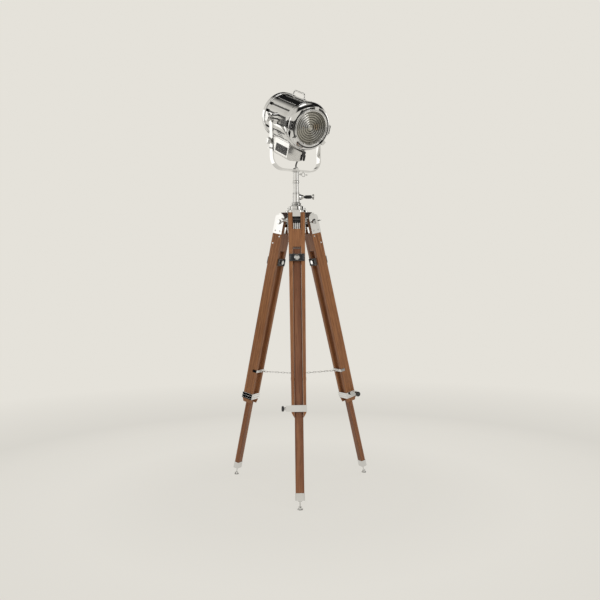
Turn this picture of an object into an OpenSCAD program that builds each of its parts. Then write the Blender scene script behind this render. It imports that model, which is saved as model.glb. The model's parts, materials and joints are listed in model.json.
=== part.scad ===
// Tripod spotlight floor lamp: a wooden tripod with sliding legs carries a mast, a yoke and a lens
// spotlight. Millimetres, +Z up, origin on the floor at the middle of the lamp's footprint.

/* [Tripod] */
// Radius of the circle that the three feet stand on
foot_circle_r = 326; // [240:1:420]
// Height of the leg pivots above the floor
pivot_h = 1097; // [950:1:1350]
// Distance from the mast axis to the leg pivots
pivot_r = 64; // [60:1:80]
// Length of the two rails of a leg
rail_len = 823; // [680:1:880]
// Depth of a rail, measured away from the mast
rail_d = 44; // [36:1:54]
// Thickness of a rail at its top
rail_t_top = 17; // [13:0.5:21]
// Thickness of a rail at its lower end
rail_t_low = 11.2; // [9:0.1:13]
// Gap between the two rails of a leg
rail_gap = 33.5; // [26:0.5:41]
// Depth of the sliding inner leg
slider_d = 21; // [16:1:26]
// Depth of the wooden spacer block between the rails
block_h = 75; // [60:1:95]
// Diameter of a levelling foot's disc
foot_dia = 24; // [20:1:40]
// Height of the polished clamp band round the rails
band_h = 25; // [18:1:32]
// Radius of the hinge barrels that the legs turn on
barrel_r = 16; // [13:0.5:17]

/* [Crown and mast] */
// Radius of the crown's flange disc
flange_r = 48; // [44:1:60]
// Thickness of the flange disc
flange_t = 11; // [8:0.5:14]
// Outer radius of the mast tube
mast_r = 12.5; // [10:0.5:14]
// Height of the mast's shoulder above the floor, with the mast fully down
shoulder_h = 1256; // [1240:1:1320]
// Length of the mast inside and below its socket
mast_tail = 250; // [235:1:265]

/* [Yoke] */
// Distance between the middles of the two yoke arms
yoke_w = 228; // [222:1:270]
// Width of the yoke strap
strap_w = 25; // [20:1:30]
// Thickness of the yoke strap
strap_t = 5.5; // [4:0.5:7]
// Height of the tilt axis above the middle of the yoke's crossbar
tilt_above_bar = 208; // [195:1:250]
// Bend radius of the yoke's lower corners
yoke_bend_r = 52; // [30:1:60]
// How far the yoke is turned to the side, in degrees
pan_angle = 31; // [-90:1:90]
// How far the lens looks down, in degrees
tilt_angle = 25; // [0:1:40]

/* [Head] */
// Outer radius of the rear ring and of the front rim
ring_r = 97.5; // [94:0.5:100]
// Width of the rear ring and of the front rim
ring_w = 22; // [16:1:28]
// Distance from the tilt axis to the front face of the rim
drum_front = 106; // [98:1:115]
// Distance from the tilt axis to the back face of the rear ring
drum_rear = 120; // [110:1:130]
// Inner radius of the drum
drum_bore_r = 88; // [84:0.5:89]
// Number of longitudinal ribs round the drum
rib_count = 20; // [12:1:24]
// How far the lens door stands out from the rim
bezel_depth = 32; // [26:1:40]
// Visible radius of the lens
lens_r = 68; // [56:0.5:74]
// Number of prism rings on the lens
lens_rings = 8; // [4:1:10]
// Depth of the lamp housing's lowest line below the tilt axis
housing_drop = 156; // [145:1:165]
// Width of the lamp housing
housing_w = 76; // [60:1:84]
// Length of the carrying handle
handle_len = 95; // [80:1:120]
// Height of the carrying handle above the drum
handle_h = 29; // [22:1:36]

/* [Spreader] */
// Distance from the leg pivot down the leg to the spreader bracket
bracket_down = 647; // [560:1:690]
// Radius of the spreader's centre ring
spreader_ring_r = 14; // [11:0.5:20]
// Wire diameter of the chain links
chain_wire = 2; // [1.6:0.1:2.2]

/* [Hidden] */
$fn = 64;
LEG_NAMES = ["front", "right", "left"];
LEG_ANGLES = [-90, 30, 150];
LEG_PARTS = ["rails", "hinge_plates", "wing_nut", "straps", "clamp_screw", "slider", "guide_clamp",
    "ferrule", "foot", "chain"];
STAND_PARTS = ["crown_block", "crown_casting", "hinge_barrels", "mast_socket", "spreader_ring",
    "mast_lock_screw", "mast_tube"];
HEAD_PARTS = ["yoke_strap", "yoke_socket", "pan_lock_screw", "arm_brake_knob", "tilt_knob_left",
    "tilt_knob_right", "drum_shell", "rear_cover", "front_rim", "top_handle", "lamp_housing",
    "vent_panels", "trunnions", "lens_bezel", "fresnel_lens", "filter_ears", "door_latch",
    "focus_carriage", "reflector", "lamp_holder", "bulb", "focus_rod", "cable_lead"];

// Clearances
run_clear = 0.05;     // shaft in its bore, radial
face_clear = 0.25;    // flat faces that slide past each other
seat_clear = 0.1;     // pieces fixed to each other
soft_clear = 0.3;     // curved faces of different moving pieces

// Mast axis: the footprint of three feet reaches further towards the front foot
axis_y = foot_circle_r / 4;

// Leg, in its own frame: origin on the pivot, z up along the leg, x away from the mast, y along the pivot
foot_ball_h = 8;
leg_tilt = atan((foot_circle_r - pivot_r) / (pivot_h - foot_ball_h));
leg_len = (pivot_h - foot_ball_h) / cos(leg_tilt);
rail_top = 29;
rail_top_round = 12;
rail_bottom = rail_top - rail_len;
rail_half = rail_d / 2;
rail_in = rail_gap / 2;
plate_len = 79;
plate_t = 3;
taper_start = rail_top - plate_len - 4;
taper_end = rail_bottom + 64;
rail_chamfer = 17;
barrel_w = rail_gap - 2 * face_clear;
bolt_r = 5;
flute_top = -barrel_r - 2.5;
flute_bottom = -44.5;
flute_depth = 15;
block_top = -46;
block_bottom = block_top - block_h;
slider_w = rail_gap - 2 * 0.5;
slider_top = block_bottom - 6;
ferrule_h = 27;
ferrule_up = 24;
ferrule_wall = 1.6;
guide_down = 40;
guide_w = 62;
guide_h = 30;
guide_t = 4;
guide_bolt_r = 4;
band_t = 2.5;
band_mid = rail_bottom + 32;
screw_r = 4;
lug_reach = 19;
lug_d = 14;
lug_x = rail_half - lug_d / 2 + 1;
foot_stem_r = 2.5;
ball_r = 5;
bell_h = foot_ball_h + 2.5;

// Thickness of a rail at a height in the leg frame
function rail_t(z) = z > taper_start ? rail_t_top
    : z < taper_end ? rail_t_low
    : rail_t_low + (rail_t_top - rail_t_low) * (z - taper_end) / (taper_start - taper_end);
// Half the width of a leg at a height in the leg frame
function leg_half(z) = rail_in + rail_t(z);
// Distance from the mast axis, and height, of a point given in the leg frame
function out_of(x, z) = pivot_r + x * cos(leg_tilt) - z * sin(leg_tilt);
function up_of(x, z) = pivot_h + x * sin(leg_tilt) + z * cos(leg_tilt);

// Crown
block_z = pivot_h + 15;
block_t = 19;
block_top_r = 76;
block_flat = pivot_r - 27.5;
flange_z = block_z + block_t;
casting_top = flange_z + flange_t;
saddle_w = barrel_w - 1;
step_r = 35;
step_h = 17;
bulge_r = 23;
bulge_h = 19;
sleeve_r = 16.4;
sleeve_h = 37;
socket_top = casting_top + step_h + bulge_h + sleeve_h;
flange_nut_circle = 41;
lock_up = socket_top - 16;
lock_len = 46;
grip_len = 31;

// Mast and yoke
spigot_r = 10;
spigot_h = 46;
collar_r = 15.3;
collar_h = 12;
neck_r = 13;
bar_bottom = shoulder_h + 51;
tilt_h = bar_bottom + strap_t / 2 + tilt_above_bar;
nipple_r = 8;
nipple_bore = 3.6;
pan_lock_up = bar_bottom - 11;
socket_tip = bar_bottom + strap_t + 12;
pin_r = 6;
eye_r = 17;
arm_in = yoke_w / 2 - strap_t / 2;
arm_out = yoke_w / 2 + strap_t / 2;
brake_down = 95;
thumb_down = 125;

// Head, in its own frame: origin on the tilt axis, the lens looks along -Y, z up
rib_r = drum_bore_r + 6.5;
shell_r = drum_bore_r + 3.2;
rim_back = -drum_front + ring_w;
rear_front = drum_rear - ring_w;
rib_w = 15;
vent_len = 14;
slot_len = 46;
slot_w = 4.5;
slot_count = 4;
bottom_slot_w = 30;
housing_front = 56;
housing_rear = 72;
housing_t = 2.5;
panel_w = 98;
panel_h = 32;
panel_mid = -housing_drop + 33;
bezel_lip_r = lens_r + 2;
bezel_back = -drum_front - 0.4;
bezel_wall = 3;
bezel_sweep = 34;
bezel_out_r = ring_r - 0.5;
bezel_front = bezel_back - bezel_depth;
lens_t = 9;
lens_rim_r = lens_r + 5;
hinge_x = ring_r + 5.5;
hinge_y = bezel_back + 0.2;
hinge_barrel_r = 4.6;
hinge_pin_r = 2.2;
hinge_len = 36;
latch_x = -ring_r - 4;
latch_y = bezel_back - 5;
latch_w = 24;
latch_pin_r = 1.6;
rod_x = 5;
rod_z = -105;
grip_y = -112;
lead_r = 3.2;
dish_r = 60;
dish_y = 34;
post_top = -30.5;
post_y = dish_y - dish_r + sqrt(dish_r * dish_r - post_top * post_top) + 0.4;

// ---------------------------------------------------------------- placing

// Puts a leg's pieces at the leg's place round the mast
module on_leg(az) {
    translate([0, axis_y, pivot_h])
        rotate([0, 0, az])
            translate([pivot_r, 0, 0])
                rotate([0, -leg_tilt, 0])
                    children();
}

module on_mast(z = 0) {
    translate([0, axis_y, z]) children();
}

module on_yoke() {
    translate([0, axis_y, tilt_h]) rotate([0, 0, pan_angle]) children();
}

module on_head() {
    on_yoke() rotate([tilt_angle, 0, 0]) children();
}

// Turns a shape built along +Z to lie along another axis
module along_x() { rotate([0, 90, 0]) children(); }
module along_y() { rotate([-90, 0, 0]) children(); }
module facing_front() { rotate([90, 0, 0]) children(); }

// Repeats its children on both sides of the YZ plane
module both_sides() {
    children();
    mirror([1, 0, 0]) children();
}

// Box centred in x and y, from z = low to z = high
module block_between(x, y, low, high) {
    translate([-x / 2, -y / 2, low]) cube([x, y, high - low]);
}

// Ring of round wire in the XY plane
module wire_ring(r, wire_r) {
    rotate_extrude() translate([r, 0]) circle(r = wire_r, $fn = 32);
}

// ---------------------------------------------------------------- crown and mast

// Wooden block with three pointed corners between the legs and a coved underside
module crown_block() {
    color("#4a2b1c")
    on_mast(block_z)
    difference() {
        intersection() {
            rotate_extrude()
                difference() {
                    square([block_top_r, block_t]);
                    translate([block_top_r, -9]) circle(r = block_t + 6);
                }
            rotate([0, 0, 90])
                linear_extrude(block_t)
                    circle(r = 2 * block_flat, $fn = 3);
        }
        translate([0, 0, -1]) cylinder(r = mast_r + 2, h = block_t + 2);
    }
}

// Flange disc with three lugs that reach down as saddles over the hinge barrels
module crown_casting() {
    color("silver")
    on_mast()
    difference() {
        union() {
            translate([0, 0, flange_z]) flange_disc();
            for (az = LEG_ANGLES) rotate([0, 0, az]) hinge_lug();
        }
        translate([0, 0, flange_z - 1]) cylinder(r = mast_r + 2, h = flange_t + 2);
    }
}

// Disc with a rounded upper edge
module flange_disc() {
    edge = 4;
    rotate_extrude() {
        square([flange_r - edge, flange_t]);
        square([flange_r, flange_t - edge]);
        translate([flange_r - edge, flange_t - edge]) circle(r = edge);
    }
}

module hinge_lug() {
    lug_out = pivot_r + barrel_r - 3;
    lug_in = block_flat + 0.5;
    difference() {
        translate([lug_in, -saddle_w / 2, pivot_h + 2])
            cube([lug_out - lug_in, saddle_w, flange_z + 5 - pivot_h - 2]);
        translate([pivot_r, -saddle_w / 2 - 1, pivot_h])
            along_y() cylinder(r = barrel_r + seat_clear, h = saddle_w + 2);
        translate([pivot_r, -saddle_w / 2 - 1, pivot_h - 20])
            cube([barrel_r + 5, saddle_w + 2, 20 + barrel_r * 0.8]);
    }
}

// Black barrels that the legs turn on
module hinge_barrels() {
    color("#1c1b1a")
    for (az = LEG_ANGLES)
        on_mast(pivot_h) rotate([0, 0, az]) translate([pivot_r, 0, 0])
            difference() {
                translate([0, -barrel_w / 2, 0]) along_y() cylinder(r = barrel_r, h = barrel_w);
                translate([0, -barrel_w / 2 - 1, 0]) along_y()
                    cylinder(r = bolt_r + run_clear, h = barrel_w + 2);
            }
}

// Turned socket with a step, a bulge ring and a sleeve, and the nuts that hold it on the flange
module mast_socket() {
    bulge_z = casting_top + step_h;
    sleeve_z = bulge_z + bulge_h;
    color("silver")
    on_mast()
    union() {
        difference() {
            union() {
                rotate_extrude() {
                    translate([0, casting_top]) square([step_r - 3, step_h]);
                    translate([0, casting_top]) square([step_r, step_h - 3]);
                    translate([step_r - 3, bulge_z - 3]) circle(r = 3);
                    translate([0, bulge_z]) square([bulge_r - 5, bulge_h]);
                    translate([bulge_r - 6.5, bulge_z + bulge_h / 2 - 1]) circle(r = 7);
                    translate([0, sleeve_z]) square([sleeve_r, sleeve_h]);
                }
                translate([0, 0, lock_up]) lock_boss();
            }
            translate([0, 0, casting_top - 1])
                cylinder(r = mast_r + run_clear, h = socket_top - casting_top + 2);
            translate([0, 0, lock_up]) along_x() cylinder(r = screw_r + run_clear, h = 60);
        }
        for (az = [-30, 90, 210]) rotate([0, 0, az]) translate([flange_nut_circle, 0, casting_top]) {
            cylinder(r = 4.6, h = 5, $fn = 6);
            translate([0, 0, 5]) sphere(r = 3.4);
        }
    }
}

// Conical boss for the mast lock screw
module lock_boss() {
    translate([sleeve_r - 4, 0, 0]) along_x() cylinder(r1 = 14, r2 = 6.5, h = 19);
}

module spreader_ring() {
    color("silver")
    on_mast(spreader_h) wire_ring(spreader_ring_r, spreader_wire_r);
}

// Screw with a tapered black grip and a flared end cap
module mast_lock_screw() {
    tip = mast_r + seat_clear;
    color("#222222")
    on_mast(lock_up)
    along_x()
    rotate_extrude() {
        translate([0, tip]) square([screw_r, lock_len - tip]);
        translate([0, 32])
            polygon([[0, 0], [4.4, 0], [7.4, 9], [7.4, grip_len - 3], [6.4, grip_len], [0, grip_len]]);
        translate([0, 32 + grip_len])
            polygon([[0, 0], [5, 0], [10, 4], [12, 8], [12, 10], [10.5, 12], [0, 12]]);
    }
}

// Sliding tube with a reduced spigot that the yoke turns on
module mast_tube() {
    color("silver")
    on_mast()
    difference() {
        union() {
            translate([0, 0, shoulder_h - mast_tail]) cylinder(r = mast_r, h = mast_tail);
            translate([0, 0, shoulder_h - 1]) cylinder(r = spigot_r, h = spigot_h + 1);
            translate([0, 0, socket_top + 0.3]) cylinder(r = mast_r + 2.2, h = 4);
        }
        translate([0, 0, shoulder_h - mast_tail - 1])
            cylinder(r = nipple_bore, h = mast_tail + spigot_h + 2);
    }
}

// ---------------------------------------------------------------- yoke

// U of flat strap with round eyes at the tilt axis
module yoke_strap() {
    color("silver")
    on_yoke()
    difference() {
        union() {
            translate([0, strap_w / 2, 0]) facing_front() linear_extrude(strap_w) strap_outline();
            both_sides() translate([arm_in, 0, 0]) along_x() cylinder(r = eye_r, h = strap_t);
            translate([-arm_out - 8, 0, -thumb_down]) along_x() cylinder(r = 2.5, h = 9);
            translate([-arm_out - 14, -5, -thumb_down - 1.2]) cube([7, 10, 2.4]);
            translate([-arm_out - 9, 0, -thumb_down]) along_x() cylinder(r = 5, h = 3);
        }
        both_sides() translate([arm_in - 1, 0, 0]) along_x()
            cylinder(r = pin_r + run_clear, h = strap_t + 2);
        translate([-arm_out - 1, 0, -brake_down]) along_x()
            cylinder(r = screw_r + run_clear, h = strap_t + 2);
        translate([0, 0, -tilt_above_bar - strap_t])
            cylinder(r = nipple_r + seat_clear, h = 2 * strap_t);
    }
}

// Outline of the strap, seen from the front, with its bends
module strap_outline() {
    difference() {
        bend_shape(arm_out, tilt_above_bar + strap_t / 2, yoke_bend_r + strap_t / 2);
        bend_shape(arm_in, tilt_above_bar - strap_t / 2, yoke_bend_r - strap_t / 2);
    }
}

// Half-open tray with round lower corners
module bend_shape(half, drop, r) {
    translate([-half, -drop + r]) square([2 * half, drop - r]);
    translate([-half + r, -drop]) square([2 * (half - r), r + 1]);
    for (side = [-1, 1]) translate([side * (half - r), -drop + r]) circle(r = r);
}

// Neck tube with a flared collar, its nipple through the crossbar and the nut on top
module yoke_socket() {
    bar_top = bar_bottom + strap_t;
    color("silver")
    on_mast()
    rotate([0, 0, pan_angle])
    difference() {
        union() {
            rotate_extrude()
                polygon([[0, shoulder_h + face_clear], [collar_r, shoulder_h + face_clear],
                    [collar_r, shoulder_h + collar_h - 3], [neck_r, shoulder_h + collar_h],
                    [neck_r, bar_bottom - 3], [neck_r + 4, bar_bottom], [0, bar_bottom]]);
            translate([0, 0, bar_bottom - 1]) cylinder(r = nipple_r, h = strap_t + 8);
            translate([0, 0, bar_top]) cylinder(r = 14, h = 6, $fn = 6);
            translate([0, 0, bar_top + 5]) cylinder(r1 = 10, r2 = 6.5, h = 7);
        }
        translate([0, 0, shoulder_h]) cylinder(r = spigot_r + run_clear, h = spigot_h + 1);
        translate([0, 0, shoulder_h]) cylinder(r = nipple_bore, h = 80);
        translate([0, 0, pan_lock_up]) along_x() cylinder(r = screw_r - 1 + run_clear, h = 30);
    }
}

// Thumbscrew with a ring to turn it by
module pan_lock_screw() {
    ring_x = 36;
    ring_turn_r = 8;
    color("silver")
    on_mast(pan_lock_up)
    rotate([0, 0, pan_angle])
    union() {
        translate([spigot_r + seat_clear, 0, 0]) along_x() cylinder(r = screw_r - 1, h = 20);
        translate([20, 0, 0]) along_x() cylinder(r = 5, h = 6);
        translate([ring_x, 0, 0]) rotate([90, 0, 0]) wire_ring(ring_turn_r, 1.8);
        translate([ring_x + ring_turn_r, 0, 0]) along_x() cylinder(r = 1.8, h = 8);
        translate([ring_x + ring_turn_r + 9, 0, 0]) sphere(r = 3);
    }
}

// Round knob with a knurled rim, on a screw through its centre along +Z
module round_knob(r, h, hub_r, lobes) {
    rotate_extrude()
        polygon([[0, 0], [hub_r, 0], [r - 1.5, h * 0.3], [r - 1.5, h - 1.5], [r - 3, h], [0, h]]);
    for (i = [0 : lobes - 1]) rotate([0, 0, i * 360 / lobes])
        translate([r - 2.2, 0, h * 0.32]) cylinder(r = 1.9, h = h * 0.6 - 1.5);
}

module arm_brake_knob() {
    color("silver")
    on_yoke()
    translate([-arm_out, 0, -brake_down])
    rotate([0, -90, 0]) {
        translate([0, 0, -strap_t - 3]) cylinder(r = screw_r, h = strap_t + 5);
        translate([0, 0, face_clear]) round_knob(14, 18, 8, 12);
    }
}

module tilt_knob(side) {
    start = arm_out + face_clear;
    color("#2a2a2a")
    on_yoke()
    mirror([side < 0 ? 1 : 0, 0, 0])
    translate([start, 0, 0])
    along_x()
    difference() {
        union() {
            cylinder(r = 11, h = 4);
            translate([0, 0, 3]) round_knob(18, 17, 10, 14);
        }
        translate([0, 0, -1]) cylinder(r = pin_r - 1 + run_clear, h = 13);
    }
}

module tilt_knob_left() { tilt_knob(-1); }
module tilt_knob_right() { tilt_knob(1); }

// ---------------------------------------------------------------- head

// Drum with longitudinal ribs, air vents behind them and louvre slots low on both sides
module drum_shell() {
    length = rear_front - rim_back;
    color("silver")
    on_head()
    difference() {
        translate([0, rear_front, 0]) facing_front() linear_extrude(length) drum_section();
        for (i = [0 : rib_count - 1]) rotate([0, (i + 0.5) * 360 / rib_count, 0])
            translate([-5, rear_front - vent_len - 4, shell_r - 8]) cube([10, vent_len, 16]);
        both_sides() for (i = [0 : slot_count - 1]) rotate([0, 118 + i * 6.4, 0])
            translate([-slot_w / 2, -48, drum_bore_r - 2]) cube([slot_w, slot_len, 12]);
        translate([-bottom_slot_w / 2, -70, -shell_r - 5]) cube([bottom_slot_w, 130, 20]);
        both_sides() along_x() translate([0, 0, drum_bore_r - 4]) cylinder(r = pin_r + run_clear, h = 20);
    }
}

// Ring with a raised rib at each division
module drum_section() {
    difference() {
        union() {
            circle(r = shell_r);
            intersection() {
                circle(r = rib_r);
                for (i = [0 : rib_count - 1]) rotate(90 + i * 360 / rib_count)
                    translate([drum_bore_r - 2, -rib_w / 2]) square([14, rib_w]);
            }
        }
        circle(r = drum_bore_r);
    }
}

// Rear ring and the slightly domed back plate with its louvres
module rear_cover() {
    edge = 3;
    color("silver")
    on_head()
    difference() {
        facing_front() rotate([180, 0, 0])
        rotate_extrude() {
            translate([drum_bore_r + 1, rear_front]) square([ring_r - drum_bore_r - 1 - edge, ring_w]);
            translate([drum_bore_r + 1, rear_front + edge])
                square([ring_r - drum_bore_r - 1, ring_w - 2 * edge]);
            translate([ring_r - edge, rear_front + edge]) circle(r = edge);
            translate([ring_r - edge, drum_rear - edge]) circle(r = edge);
            translate([0, drum_rear - 7]) square([drum_bore_r + 2, 3]);
            translate([0, drum_rear - 7]) square([30, 8]);
        }
        for (row = [-2 : 2]) if (row != 0)
            translate([-34, drum_rear - 9, row * 17 + (row > 0 ? 8 : -8) - 2]) cube([68, 12, 5]);
    }
}

// Front rim of the drum with its half of the door hinge
module front_rim() {
    edge = 3;
    color("silver")
    on_head()
    difference() {
        union() {
            facing_front()
            rotate_extrude() {
                translate([drum_bore_r + 1, -rim_back + edge])
                    square([ring_r - drum_bore_r - 1, ring_w - 2 * edge]);
                translate([drum_bore_r + 1, -rim_back])
                    square([ring_r - drum_bore_r - 1 - edge, ring_w]);
                translate([ring_r - edge, -rim_back + edge]) circle(r = edge);
                translate([ring_r - edge, drum_front - edge]) circle(r = edge);
            }
            hinge_knuckles([-hinge_len / 6], hinge_len / 3 - 0.3, 1);
        }
        translate([hinge_x, hinge_y, -hinge_len]) cylinder(r = hinge_pin_r + run_clear, h = 2 * hinge_len);
    }
}

// Knuckles of the door hinge at the given heights, each with an arm to the ring beside it
module hinge_knuckles(lows, length, toward_rim) {
    arm_t = hinge_barrel_r - 0.3;
    for (low = lows) {
        translate([hinge_x, hinge_y, low]) cylinder(r = hinge_barrel_r, h = length);
        translate([ring_r - 4, toward_rim > 0 ? hinge_y + 0.3 : hinge_y - hinge_barrel_r, low])
            cube([hinge_x - ring_r + 4, arm_t, length]);
    }
}

// Wire handle with round feet on the drum
module top_handle() {
    wire_r = 2.8;
    bend = 14;
    foot_z = rib_r + seat_clear;
    start = -handle_len + 60;
    color("silver")
    on_head()
    translate([0, start, foot_z])
    union() {
        for (y = [0, handle_len]) translate([0, y, 0]) {
            cylinder(r = wire_r, h = handle_h - bend);
            cylinder(r = 7, h = 3.5);
        }
        translate([0, bend, handle_h]) along_y() cylinder(r = wire_r, h = handle_len - 2 * bend);
        translate([0, bend, handle_h - bend]) rotate([0, 0, 180]) quarter_bend(bend, wire_r);
        translate([0, handle_len - bend, handle_h - bend]) quarter_bend(bend, wire_r);
    }
}

// Quarter of a wire ring, from +Y round to +Z
module quarter_bend(r, wire_r) {
    rotate([90, 0, 90]) rotate_extrude(angle = 90) translate([r, 0]) circle(r = wire_r, $fn = 32);
}

// Closed box with a rounded bottom under the drum, and the focus rods in its top
module lamp_housing() {
    round_r = 18;
    color("silver")
    on_head()
    difference() {
        translate([0, housing_rear, 0]) facing_front() linear_extrude(housing_rear + housing_front)
            housing_outline(housing_w / 2, housing_drop, round_r);
        translate([0, housing_rear - housing_t, 0]) facing_front()
            linear_extrude(housing_rear + housing_front - 2 * housing_t)
                housing_outline(housing_w / 2 - housing_t, housing_drop - housing_t, round_r - housing_t);
        facing_front() cylinder(r = shell_r + 3.9, h = 400, center = true);
        translate([rod_x, 0, rod_z]) facing_front()
            cylinder(r = screw_r + run_clear, h = 2 * housing_front + 20);
        translate([lead_exit[0], lead_exit[1], -housing_drop - 5]) cylinder(r = lead_r + 1.2, h = 20);
        both_sides() for (i = [0 : 5])
            translate([housing_w / 2 - housing_t - 1, -panel_w / 2 + 9 + i * 14, panel_mid - 12])
                cube([housing_t + 2, 8, 24]);
    }
}

module housing_outline(half, drop, r) {
    translate([-half, -drop + r]) square([2 * half, drop - r - 60]);
    translate([-half + r, -drop]) square([2 * (half - r), r + 1]);
    for (side = [-1, 1]) translate([side * (half - r), -drop + r]) circle(r = r);
}

// Black louvred panels on the housing's sides
module vent_panels() {
    t = 2;
    color("#1a1a1a")
    on_head()
    both_sides() translate([housing_w / 2 + seat_clear, -panel_w / 2 + 3, panel_mid - panel_h / 2])
        difference() {
            union() {
                cube([t, panel_w, panel_h]);
                for (i = [0 : 6]) translate([t - 0.5, 8, 4 + i * 4]) cube([1.6, panel_w - 16, 2]);
            }
            for (i = [0 : 5]) translate([-1, 8.5, 6.3 + i * 4]) cube([t + 4, panel_w - 17, 1.4]);
        }
}

// Bosses on the drum's sides with the pins that the yoke arms hold
module trunnions() {
    boss_start = rib_r - 3;
    color("silver")
    on_head()
    both_sides() translate([boss_start, 0, 0]) along_x() {
        difference() {
            cylinder(r1 = 24, r2 = 18, h = arm_in - face_clear - boss_start);
            translate([0, 0, -boss_start]) facing_front()
                cylinder(r = rib_r + seat_clear, h = 120, center = true);
        }
        translate([0, 0, 2]) cylinder(r = pin_r, h = arm_out - boss_start - 2);
        translate([0, 0, 2]) cylinder(r = pin_r - 1, h = arm_out + 12 - boss_start - 2);
    }
}

// ---------------------------------------------------------------- lens door

// Convex ring with an inner lip, and its half of the door hinge
module lens_bezel() {
    lens_seat = -bezel_front - 5 - lens_t;
    color("silver")
    on_head()
    difference() {
        union() {
            facing_front()
            rotate_extrude() bezel_profile();
            hinge_knuckles([-hinge_len / 2, hinge_len / 6], hinge_len / 3 - 0.3, -1);
            translate([hinge_x, hinge_y, -hinge_len / 2 - 3]) cylinder(r = hinge_pin_r, h = hinge_len + 5);
            translate([hinge_x, hinge_y, -hinge_len / 2 - 5]) cylinder(r = 3.6, h = 3);
            for (z = [-latch_w / 2 - 3.2, latch_w / 2 + 0.2])
                translate([latch_x - 3.5, latch_y - 3.5, z]) cube([12, 7, 3]);
            translate([latch_x, latch_y, -latch_w / 2 - 3]) cylinder(r = latch_pin_r, h = latch_w + 6);
        }
        facing_front() translate([0, 0, lens_seat]) cylinder(r = lens_rim_r + seat_clear, h = lens_t);
    }
}

// Half section of the bezel: x is the radius, y the distance in front of the tilt axis
module bezel_profile() {
    back = -bezel_back;
    front = -bezel_front;
    intersection() {
        translate([bezel_lip_r - bezel_wall, back])
            square([bezel_out_r - bezel_lip_r + bezel_wall, bezel_depth]);
        difference() {
            translate([bezel_out_r - bezel_sweep, back + 1]) circle(r = bezel_sweep);
            translate([bezel_out_r - bezel_sweep, back - 3]) circle(r = bezel_sweep - bezel_wall);
        }
    }
    translate([bezel_lip_r - bezel_wall, front - 5 - lens_t - 2]) square([bezel_wall + 5.5, lens_t + 6]);
    translate([bezel_out_r - 7.5, back]) square([7.5, 3]);
}

// Solid half section that the bezel's outside fills, grown by a gap
module bezel_envelope(gap) {
    intersection() {
        translate([bezel_lip_r - bezel_wall, -bezel_back - 5]) square([60, bezel_depth + 5 + gap]);
        union() {
            translate([bezel_out_r - bezel_sweep, -bezel_back + 1]) circle(r = bezel_sweep + gap);
            translate([0, -bezel_back - 5]) square([bezel_out_r + gap, 6]);
        }
    }
}

// Stepped lens: flat at the back, prism rings round a small dome at the front
module fresnel_lens() {
    seat = -bezel_front - 5 - lens_t + face_clear;
    base_t = 4.5;
    peak = 7.4;
    centre_r = lens_r / (lens_rings + 1) * 1.4;
    step = (lens_r - centre_r) / lens_rings;
    dome_steps = 6;
    prisms = [for (i = [lens_rings - 1 : -1 : 0]) each
        [[centre_r + (i + 1) * step, base_t], [centre_r + i * step + 0.3, peak]]];
    dome = [for (k = [dome_steps : -1 : 0]) [centre_r * k / dome_steps,
        base_t + 3.6 * cos(90 * k / dome_steps)]];
    color([0.75, 0.75, 0.65, 0.5])
    on_head()
    facing_front()
    translate([0, 0, seat])
    rotate_extrude()
        polygon(concat([[0, 0], [lens_rim_r, 0], [lens_rim_r, base_t]], prisms, dome));
}

// Channels at the front of the bezel that hold filters and barn doors
module filter_ears() {
    ear_r = ring_r - 19;
    reach = 12;
    color("silver")
    on_head()
    difference() {
        for (angle = [38, 142, 270]) rotate([0, angle, 0]) translate([ear_r, bezel_front, -9]) {
            translate([0, -1, 0]) cube([9, 16, 18]);
            translate([6, -reach, 0]) cube([3, reach, 18]);
            translate([-4, -reach, 0]) cube([12, 2.5, 18]);
        }
        facing_front() rotate_extrude() bezel_envelope(seat_clear);
    }
}

// Catch on the door's edge: a lever that lies along the rim's side, with a finger tab
module door_latch() {
    color("#3a3836")
    on_head()
    translate([latch_x, latch_y, -latch_w / 2])
    difference() {
        union() {
            cylinder(r = 3.2, h = latch_w);
            translate([-3.2, 0, 0]) cube([2.6, 30, latch_w]);
            translate([-3.2, 24, 2]) rotate([0, 0, 25]) cube([2.4, 11, latch_w - 4]);
        }
        translate([0, 0, -1]) cylinder(r = latch_pin_r + run_clear, h = latch_w + 2);
    }
}

// ---------------------------------------------------------------- focus

// Saddle that slides along the drum's floor and carries the lamp
module focus_carriage() {
    color("#8a8a86")
    on_head()
    difference() {
        union() {
            translate([-22, -30, -62]) cube([44, 62, 3]);
            translate([rod_x - 7, -16, rod_z - 8]) cube([14, 32, -62 - rod_z + 9]);
            translate([-12, -26, -60]) cube([24, 24, 6]);
            translate([-4, post_y, -60]) cube([8, 4, post_top + 60]);
        }
        translate([rod_x, 0, rod_z]) facing_front()
            cylinder(r = screw_r + run_clear, h = 100, center = true);
        translate([0, -14, -63]) cylinder(r = 8 + seat_clear, h = 20);
    }
}

// Spherical mirror behind the bulb
module reflector() {
    rim_half = 44;
    depth = dish_r - sqrt(dish_r * dish_r - rim_half * rim_half);
    color("#c9c6b8")
    on_head()
    translate([0, dish_y, 0])
    facing_front() rotate_extrude() intersection() {
        translate([0, dish_r]) difference() {
            circle(r = dish_r);
            circle(r = dish_r - 1.5);
        }
        square([rim_half, depth]);
    }
}

module lamp_holder() {
    color("#e8e4d8")
    on_head()
    translate([0, -14, -54])
    union() {
        translate([0, 0, -8]) cylinder(r = 8, h = 9);
        cylinder(r = 14, h = 22);
        translate([0, 0, 20]) cylinder(r = 11, h = 5);
    }
}

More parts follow.
